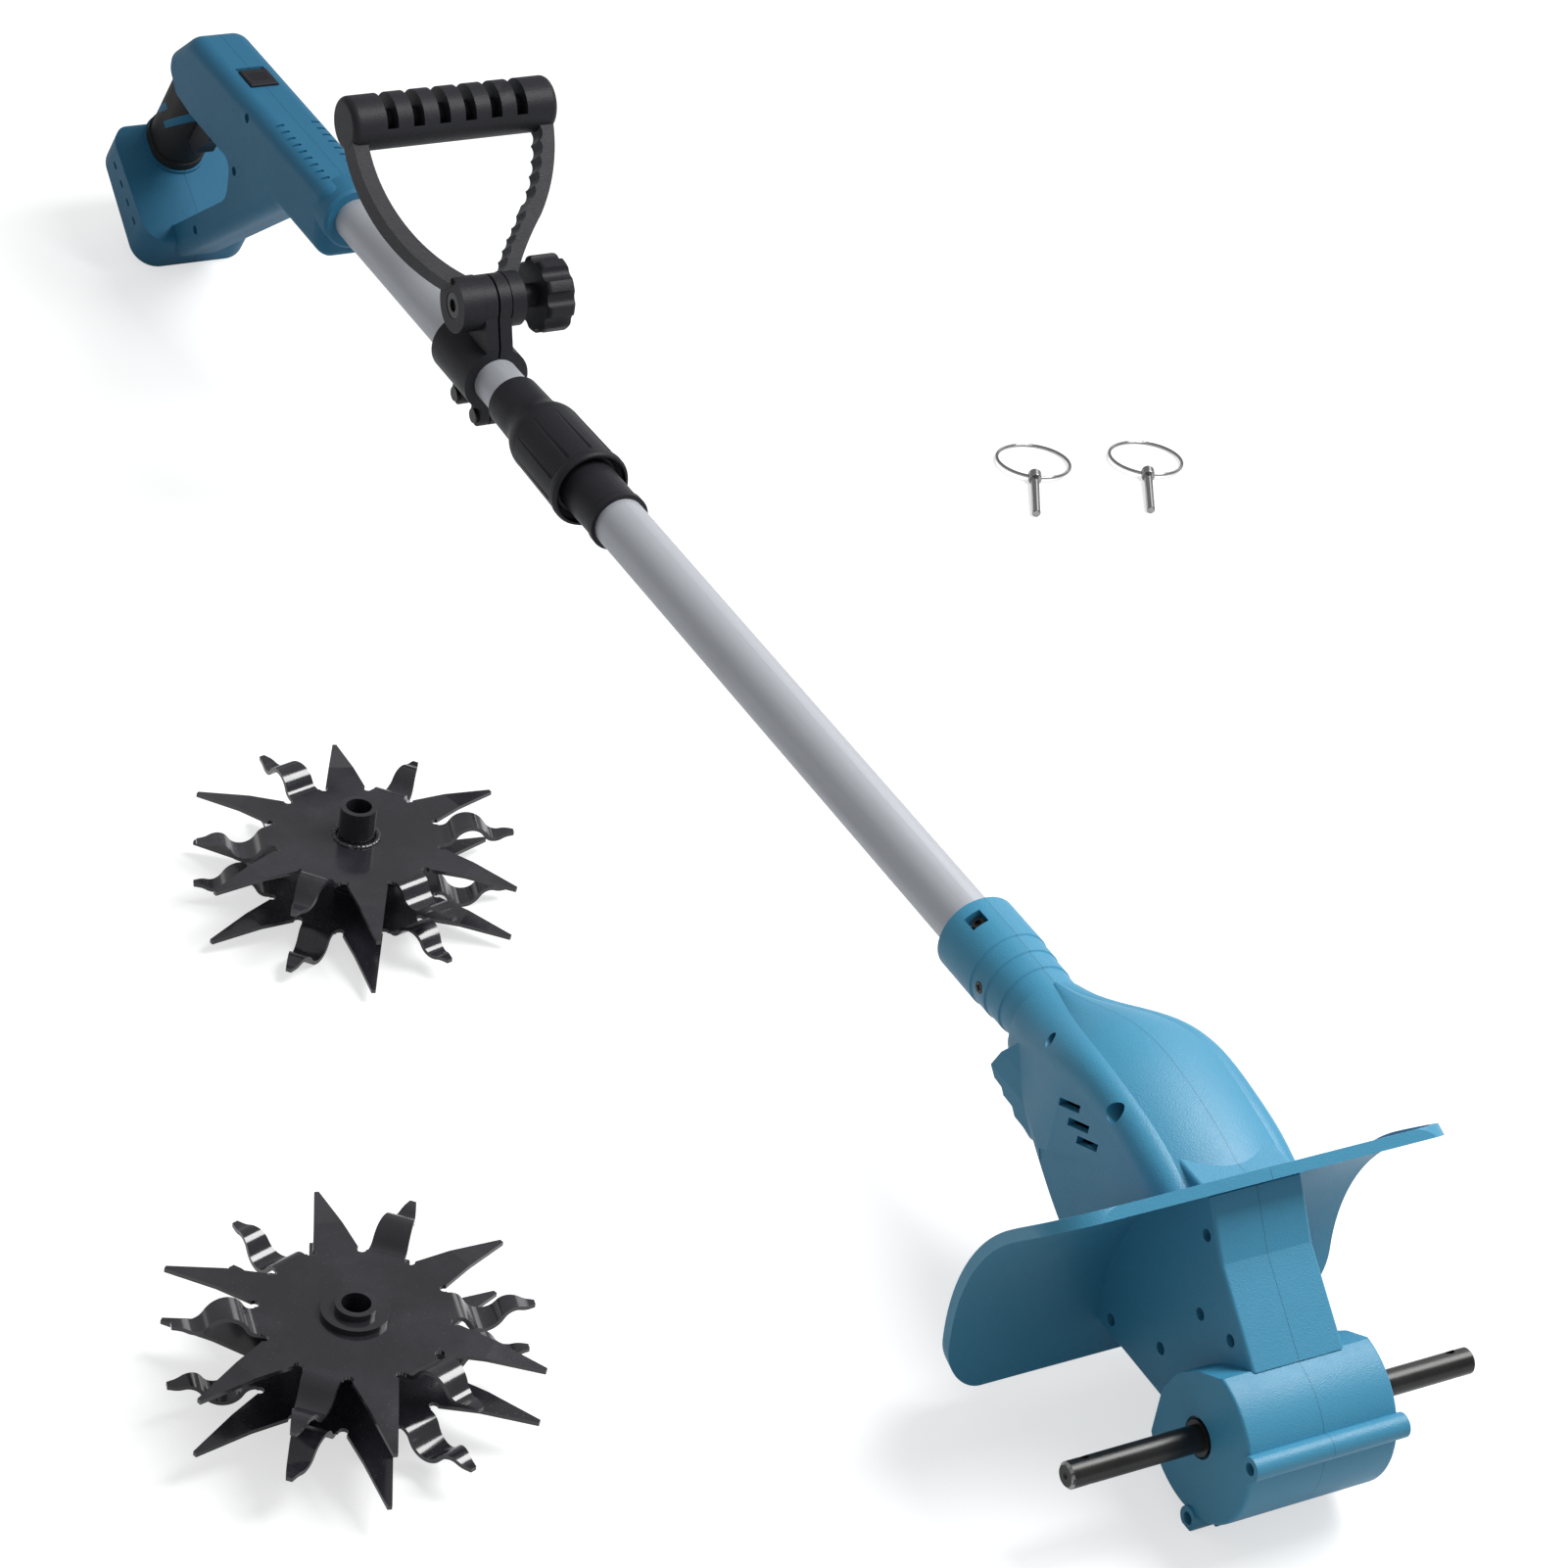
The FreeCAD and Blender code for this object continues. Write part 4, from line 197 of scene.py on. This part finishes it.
TEAL = (0.048, 0.262, 0.420, 1.0)
TEAL_DULL = (0.042, 0.236, 0.385, 1.0)
# The rear handle's copy of the teal, darkened with painted shade.
SHADED_REAR_TEAL = (0.026, 0.155, 0.275, 1.0)
SHADED_REAR_TEAL_DULL = (0.023, 0.140, 0.250, 1.0)
DARK = (0.016, 0.016, 0.020, 1.0)
DARK_DULL = (0.022, 0.022, 0.027, 1.0)

DUST_SHARE = 0.10
DUST_GAIN = 1.35
DUST_LIFT = 0.01
SEAM_HALF = 0.22 * MM
SEAM_SHARE = 0.45
SEAM_LEVEL = 0.25
SEAM_DEPTH = 0.64 * MM


def moulded_plastic(name, colour, dull, grain, pit_depth, roughness, shine, seam=False):
    """Grained moulding with faint flow clouds, and a parting line in the middle plane."""
    f = Finish(name)
    clouds = f.speckle(scale=9.0, detail=3.0)
    dust = f.speckle(scale=190.0)
    tone = f.mix(f.fade(clouds, low=0.35, high=0.65), colour, dull)
    dusty = (*[c * DUST_GAIN + DUST_LIFT for c in colour[:3]], 1.0)
    tone = f.mix(dust * DUST_SHARE, tone, dusty)
    normal = f.bump(f.grain(scale=grain), distance=pit_depth, strength=0.55)
    if seam:
        line = f.axis("X").magnitude().below(SEAM_HALF)
        tone = f.mix(line * SEAM_SHARE, tone, shade(SEAM_LEVEL, colour))
        normal = f.bump(1.0 - line, distance=SEAM_DEPTH, strength=0.6, under=normal)
    return f.done({
        "Base Color": tone,
        "Roughness": roughness + swing(clouds, 0.14) + swing(dust, 0.10),
        "Normal": normal,
        "Specular IOR Level": shine,
    })


def blue_plastic(name, colour, dull, roughness, shine):
    """The housings' plastic, with a parting line."""
    return moulded_plastic(name, colour, dull, grain=1300.0, pit_depth=0.16 * MM,
                           roughness=roughness, shine=shine, seam=True)


def black_plastic():
    """The lock's, clamp's and D-handle's plastic."""
    return moulded_plastic("black_grained_plastic", DARK, DARK_DULL, grain=1200.0,
                           pit_depth=0.15 * MM, roughness=0.44, shine=0.16)


# Grip rubber

# Side view, as Y and Z. The strips are measured along the grip and across it from its base.
GRIP_BASE = (1210.1 * MM, 61.0 * MM)
GRIP_LEAN = radians(32.85)
LONG_INLAY = ((30.0 * MM, -3.0 * MM), (60.0 * MM, -17.0 * MM))
SHORT_INLAY = ((26.0 * MM, 10.0 * MM), (42.0 * MM, 3.0 * MM))
INLAY_HALF = 2.2 * MM
INLAY_DEPTH = 0.6 * MM


def inlay(along, across, start, stop):
    """One where the place is within a straight strip on the grip, else zero."""
    run = Vector(stop) - Vector(start)
    way = run.normalized()
    reach = (along - start[0]) * way.x + (across - start[1]) * way.y - run.length / 2
    aside = (across - start[1]) * way.x - (along - start[0]) * way.y
    return reach.magnitude().below(run.length / 2) * aside.magnitude().below(INLAY_HALF)


def soft_rubber():
    """Grip rubber; the blue core shows through two slanting strips."""
    f = Finish("soft_rubber")
    y = f.axis("Y") - GRIP_BASE[0]
    z = f.axis("Z") - GRIP_BASE[1]
    along = z * cos(GRIP_LEAN) - y * sin(GRIP_LEAN)
    across = y * cos(GRIP_LEAN) + z * sin(GRIP_LEAN)
    core = inlay(along, across, *SHORT_INLAY).most(inlay(along, across, *LONG_INLAY))
    cloud = f.speckle(scale=40.0, detail=3.0)
    tone = f.mix(cloud, shade(0.016), shade(0.026, (1.0, 1.0, 1.05)))
    fine = f.bump(f.grain(scale=1500.0), distance=0.2 * MM, strength=0.4)
    return f.done({
        # The strips take the rear handle's blue, darkened with painted shade.
        "Base Color": f.mix(core, tone, SHADED_REAR_TEAL),
        "Roughness": 0.62 + swing(cloud, 0.16),
        "Specular IOR Level": 0.2,
        "Normal": f.bump(1.0 - core, distance=INLAY_DEPTH, strength=0.8, under=fine),
    })


# Metal

LINE_DEPTH = 0.03 * MM
PEEL_DEPTH = 0.12 * MM

AXLE_LOW, AXLE_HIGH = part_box("axle")
AXLE_LINE = (AXLE_LOW + AXLE_HIGH) / 2
AXLE_RADIUS = 6.0 * MM
AXLE_CHAMFER = 1.2 * MM


def drawn_aluminium():
    """Satin anodised tube with faint drawing lines along it."""
    f = Finish("satin_tube")
    lines = f.streaks(700.0, 5.0, 700.0, detail=3.0, roughness=0.6)
    clouds = f.speckle(scale=14.0)
    rubbed = f.speckle(scale=60.0, detail=4.0, roughness=0.7, place=f.stretched(1.0, 0.25, 1.0))
    scuffs = f.fade(rubbed, low=0.62, high=0.72)
    return f.done({
        "Base Color": f.mix(lines, shade(0.44, (0.96, 1.0, 1.08)), shade(0.50, (0.96, 1.0, 1.07))),
        "Metallic": 0.35,
        "Roughness": 0.46 + swing(clouds, 0.10) + swing(lines, 0.08) + scuffs * 0.08,
        "Normal": f.bump(lines, distance=0.02 * MM, strength=0.35),
    })


def painted_steel():
    """Gloss black coat over cut sheet steel, with a little orange peel and dust."""
    f = Finish("gloss_black_steel")
    smear = f.speckle(scale=26.0, detail=4.0, roughness=0.6)
    dust = f.fade(f.speckle(scale=900.0), low=0.66, high=0.74)
    # The blue tint of both tones is painted reflection of the sky on the black coat.
    clean = shade(0.014, (1.0, 0.97, 1.3))
    hazy = shade(0.028, (1.0, 0.97, 1.25))
    tone = f.mix(f.fade(smear, low=0.40, high=0.70), clean, hazy)
    return f.done({
        "Base Color": f.mix(dust * 0.25, tone, shade(0.10)),
        "Roughness": 0.16 + f.fade(smear, low=0.45, high=0.75) * 0.14 + dust * 0.2,
        "Coat Weight": 0.35,
        "Coat Roughness": 0.08,
        "IOR": 1.55,
        "Normal": f.bump(f.speckle(scale=240.0), distance=PEEL_DEPTH, strength=0.25),
    })


def oxide_steel():
    """Turned bar with black oxide, rubbed bare on the rims of the axle's ends."""
    f = Finish("black_oxide_steel")
    turning = f.streaks(2600.0, 30.0, 30.0, roughness=0.6)
    patch = f.speckle(scale=55.0, detail=3.0)
    end = 1.0 - f.axis("X").magnitude().below(AXLE_HIGH.x - AXLE_CHAMFER)
    y = f.axis("Y") - AXLE_LINE.y
    z = f.axis("Z") - AXLE_LINE.z
    rim = 1.0 - (y * y + z * z).below((AXLE_RADIUS - AXLE_CHAMFER) ** 2)
    nicks = f.fade(f.speckle(scale=420.0, detail=3.0), low=0.30, high=0.50)
    tone = f.mix(patch, shade(0.016), shade(0.045, (1.0, 0.98, 0.96)))
    return f.done({
        "Base Color": f.mix(end * rim * nicks, tone, shade(0.34)),
        "Metallic": 0.6,
        "Roughness": 0.30 + swing(patch, 0.18) + swing(turning, 0.10),
        "Normal": f.bump(turning, distance=LINE_DEPTH, strength=0.5),
    })


def bright_zinc():
    """Zinc plate of the ring pins."""
    f = Finish("bright_zinc")
    cloud = f.speckle(scale=240.0, detail=3.0)
    lines = f.streaks(300.0, 2200.0, 300.0)
    return f.done({
        "Base Color": f.mix(cloud, shade(0.27, (1.0, 1.0, 1.03)), shade(0.38, (1.0, 0.99, 0.97))),
        "Metallic": 1.0,
        "Roughness": 0.20 + swing(cloud, 0.14),
        "Normal": f.bump(lines, distance=LINE_DEPTH, strength=0.4),
    })


def bare_steel(name, dark, light, roughness):
    """Steel of the gears, pins, bearings and motor."""
    f = Finish(name)
    lines = f.streaks(1800.0, 120.0, 120.0, detail=3.0, roughness=0.6)
    patch = f.speckle(scale=90.0, detail=3.0)
    return f.done({
        "Base Color": f.mix(patch, shade(dark), shade(light)),
        "Metallic": 1.0,
        "Roughness": roughness + swing(lines, 0.16) + swing(patch, 0.08),
        "Normal": f.bump(lines, distance=LINE_DEPTH, strength=0.5),
    })


# Finishes on the CAD nodes

BLACKENED = ("clamp_bolts", "pivot_bolt", "axle_sleeves")


def finish_table():
    """Finish of each of the record's material slots."""
    return {
        "blue_plastic": blue_plastic("teal_grained_plastic", TEAL, TEAL_DULL,
                                     roughness=0.46, shine=0.45),
        "black_plastic": black_plastic(),
        "rubber": soft_rubber(),
        "satin_aluminium": drawn_aluminium(),
        "black_steel": painted_steel(),
        "axle_steel": oxide_steel(),
        "zinc_steel": bright_zinc(),
        "gear_steel": bare_steel("machined_steel", dark=0.42, light=0.55, roughness=0.30),
        "bearing_steel": bare_steel("ground_steel", dark=0.52, light=0.66, roughness=0.20),
        "motor_steel": bare_steel("drawn_steel", dark=0.50, light=0.60, roughness=0.36),
    }


def dress_nodes(finishes):
    """Finish of its slot on each node, but on the rear handle a rougher copy of the blue, darkened
    with painted shade.
    """
    # The rear handle's blue is darkened with painted shade.
    rear = blue_plastic("rear_shaded_teal_grained_plastic", SHADED_REAR_TEAL, SHADED_REAR_TEAL_DULL,
                        roughness=0.52, shine=0.22)
    for part in frame["record"]["subparts"]:
        name = part["node"]
        finish = finishes[part["material_slot"]]
        if name.startswith("rear_handle"):
            finish = rear
        if name in BLACKENED:
            finish = finishes["axle_steel"]
        slots = NODES[name].data.materials
        slots.clear()
        slots.append(finish)


# Weld beads on the rotors

# A run reaches out from the hub and rises off its plate.
HUB_RADIUS = 9.0 * MM
PLATE = 2.0 * MM
CAD_CONE_HEIGHT = 2.1 * MM
OUTER_REACH = 3.4 * MM
OUTER_RISE = 1.9 * MM
INNER_REACH = 1.7 * MM
INNER_RISE = 0.8 * MM
BEAD_STEPS = 132
BEAD_CORNERS = 12
BEAD_SLUMP = 0.75
DROPS = 31
DROP_SIZE = 0.70
RIPPLE_SIZE = 0.24
LUMP_SIZE = 0.40
LUMP_SCALE = 2.2
LUMP_SHIFT = 1.5
PIT_SIZE = 0.12
PIT_SCALE = 900.0
ROTOR_SEED = 7.3
RUN_SEED = 3.1
ABOVE, BELOW = 1, -1


def weld_bead(seed, z, up, reach, rise):
    """One run of weld round the hub, laid in overlapping drops."""
    shape = bmesh.new()
    corners = []
    for i in range(BEAD_CORNERS):
        turn = 2 * pi * i / BEAD_CORNERS
        out = HUB_RADIUS + reach * (0.5 + 0.5 * cos(turn))
        corners.append(shape.verts.new((out, 0.0, BEAD_SLUMP * rise * sin(turn))))
    rims = [shape.edges.new((corners[i - 1], corners[i])) for i in range(BEAD_CORNERS)]
    bmesh.ops.spin(shape, geom=corners + rims, cent=(0, 0, 0), axis=(0, 0, 1), angle=2 * pi,
                   steps=BEAD_STEPS, use_merge=True)
    for vert in shape.verts:
        out = Vector((vert.co.x, vert.co.y, 0.0)).normalized()
        centre = out * (HUB_RADIUS + reach / 2)
        turn = out.to_2d().angle_signed(Vector((1.0, 0.0)))
        lump = noise.noise(Vector((out.x * LUMP_SCALE, out.y * LUMP_SCALE, seed)))
        ripple = abs(sin(turn * DROPS / 2 + LUMP_SHIFT * lump))
        pit = noise.noise(vert.co * PIT_SCALE + Vector((seed, 0.0, 0.0)))
        size = DROP_SIZE + RIPPLE_SIZE * ripple + LUMP_SIZE * lump + PIT_SIZE * pit
        vert.co = centre + (vert.co - centre) * size
        vert.co.z = z + up * abs(vert.co.z)
    return shape


def weld_rotor(number, side, finish):
    """Three runs of weld in place of the CAD's cones; side is where the outer run lies."""
    node = "rotor_%d_welds" % number
    low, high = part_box(node)
    inner, outer = (low.z, high.z) if side == ABOVE else (high.z, low.z)
    face = outer - side * CAD_CONE_HEIGHT
    floor, ceiling = sorted((inner, face - side * PLATE))
    runs = ((floor, ABOVE, INNER_REACH, INNER_RISE), (ceiling, BELOW, INNER_REACH, INNER_RISE),
            (face, side, OUTER_REACH, OUTER_RISE))
    name = "rotor_%d_weld_beads" % number
    mesh = bpy.data.meshes.new(name)
    whole = bmesh.new()
    for i, run in enumerate(runs):
        bead = weld_bead(number * ROTOR_SEED + i * RUN_SEED, *run)
        bead.to_mesh(mesh)
        bead.free()
        whole.from_mesh(mesh)
    bmesh.ops.recalc_face_normals(whole, faces=whole.faces)
    middle = ((low.x + high.x) / 2, (low.y + high.y) / 2, 0.0)
    bmesh.ops.translate(whole, verts=whole.verts, vec=middle)
    whole.to_mesh(mesh)
    whole.free()
    for face in mesh.polygons:
        face.use_smooth = True
    mesh.materials.append(finish)
    beads = bpy.data.objects.new(name, mesh)
    bpy.context.scene.collection.objects.link(beads)
    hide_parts(node)
    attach(beads, "rotor_%d" % number)


# Floor, lights and camera

# Solved from the photograph, with lens and film in millimetres.
CAMERA_AT = Vector((-1.0192, -1.07993, 1.2670))
CAMERA_AIM = Vector((0.46750, 0.69774, -0.54277))
CAMERA_ROLL = radians(8.938)
CAMERA_LENS = 102.76
CAMERA_REACH = 40.0
FILM_WIDTH = 36.0

FLOOR_HALF = 14.0
FLOOR_TONE = 0.55
FLOOR_GLOW = 0.62
FLOOR_SHEEN = 0.30
SKY_LIGHT = 0.38


def place_camera():
    camera = bpy.data.cameras.new("studio_camera")
    camera.lens = CAMERA_LENS
    camera.sensor_width = FILM_WIDTH
    camera.sensor_fit = "HORIZONTAL"
    camera.clip_end = CAMERA_REACH
    holder = bpy.data.objects.new("studio_camera", camera)
    bpy.context.scene.collection.objects.link(holder)
    turn = CAMERA_AIM.to_track_quat("-Z", "Y").to_matrix().to_4x4()
    roll = Matrix.Rotation(CAMERA_ROLL, 4, "Z")
    holder.matrix_world = Matrix.Translation(CAMERA_AT) @ turn @ roll
    bpy.context.scene.camera = holder


def pale_floor():
    """Matt floor that takes shadows and glows white to the camera and in reflections."""
    f = Finish("pale_floor")
    matt = f.node("ShaderNodeBsdfDiffuse", {}, {"Color": shade(FLOOR_TONE, (0.985, 0.995, 1.0))})
    seen = f.node("ShaderNodeLightPath", output="Is Camera Ray")
    glossy = f.node("ShaderNodeLightPath", output="Is Glossy Ray")
    clear = f.node("ShaderNodeLightPath", output="Is Transmission Ray")
    glow = f.node("ShaderNodeEmission", {}, {
        "Color": shade(1.0),
        "Strength": (seen + clear) * FLOOR_GLOW + glossy * FLOOR_SHEEN,
    })
    f.end("ShaderNodeOutputMaterial", f.node("ShaderNodeAddShader", {}, {0: matt, 1: glow}))
    return f.material


def lay_floor():
    mesh = bpy.data.meshes.new("floor")
    shape = bmesh.new()
    bmesh.ops.create_grid(shape, x_segments=1, y_segments=1, size=FLOOR_HALF)
    shape.to_mesh(mesh)
    shape.free()
    mesh.materials.append(pale_floor())
    floor = bpy.data.objects.new("floor", mesh)
    bpy.context.scene.collection.objects.link(floor)


def light_room():
    """Dim sky, white where the camera sees it, and two soft boxes."""
    world = bpy.data.worlds.new("studio")
    bpy.context.scene.world = world
    room = NodeTree(world)
    seen = room.node("ShaderNodeLightPath", output="Is Camera Ray")
    clear = room.node("ShaderNodeLightPath", output="Is Transmission Ray")
    levels = {0: seen.most(clear), 2: SKY_LIGHT, 3: 1.0}
    level = room.node("ShaderNodeMix", {"data_type": "FLOAT"}, levels)
    sky = room.node("ShaderNodeBackground", {}, {"Color": shade(1.0), "Strength": level})
    room.end("ShaderNodeOutputWorld", sky)
    soft_box("key_light", at=(0.85, 0.12, 1.62), aim=(0.0, 0.15, 0.1), size=1.0, power=39.0)
    soft_box("rear_light", at=(2.0, 1.8, 1.4), aim=(0.0, 0.6, 0.1), size=1.2, power=7.0)


def soft_box(name, at, aim, size, power):
    lamp = bpy.data.lights.new(name, "AREA")
    lamp.shape = "SQUARE"
    lamp.size = size
    lamp.energy = power
    holder = bpy.data.objects.new(name, lamp)
    bpy.context.scene.collection.objects.link(holder)
    look = Vector(aim) - Vector(at)
    turn = look.to_track_quat("-Z", "Y").to_matrix().to_4x4()
    holder.matrix_world = Matrix.Translation(at) @ turn


finishes = finish_table()
dress_nodes(finishes)
weld_rotor(1, ABOVE, finishes["black_steel"])
weld_rotor(2, BELOW, finishes["black_steel"])
place_camera()
lay_floor()
light_room()
bpy.context.scene.view_settings.view_transform = "Standard"
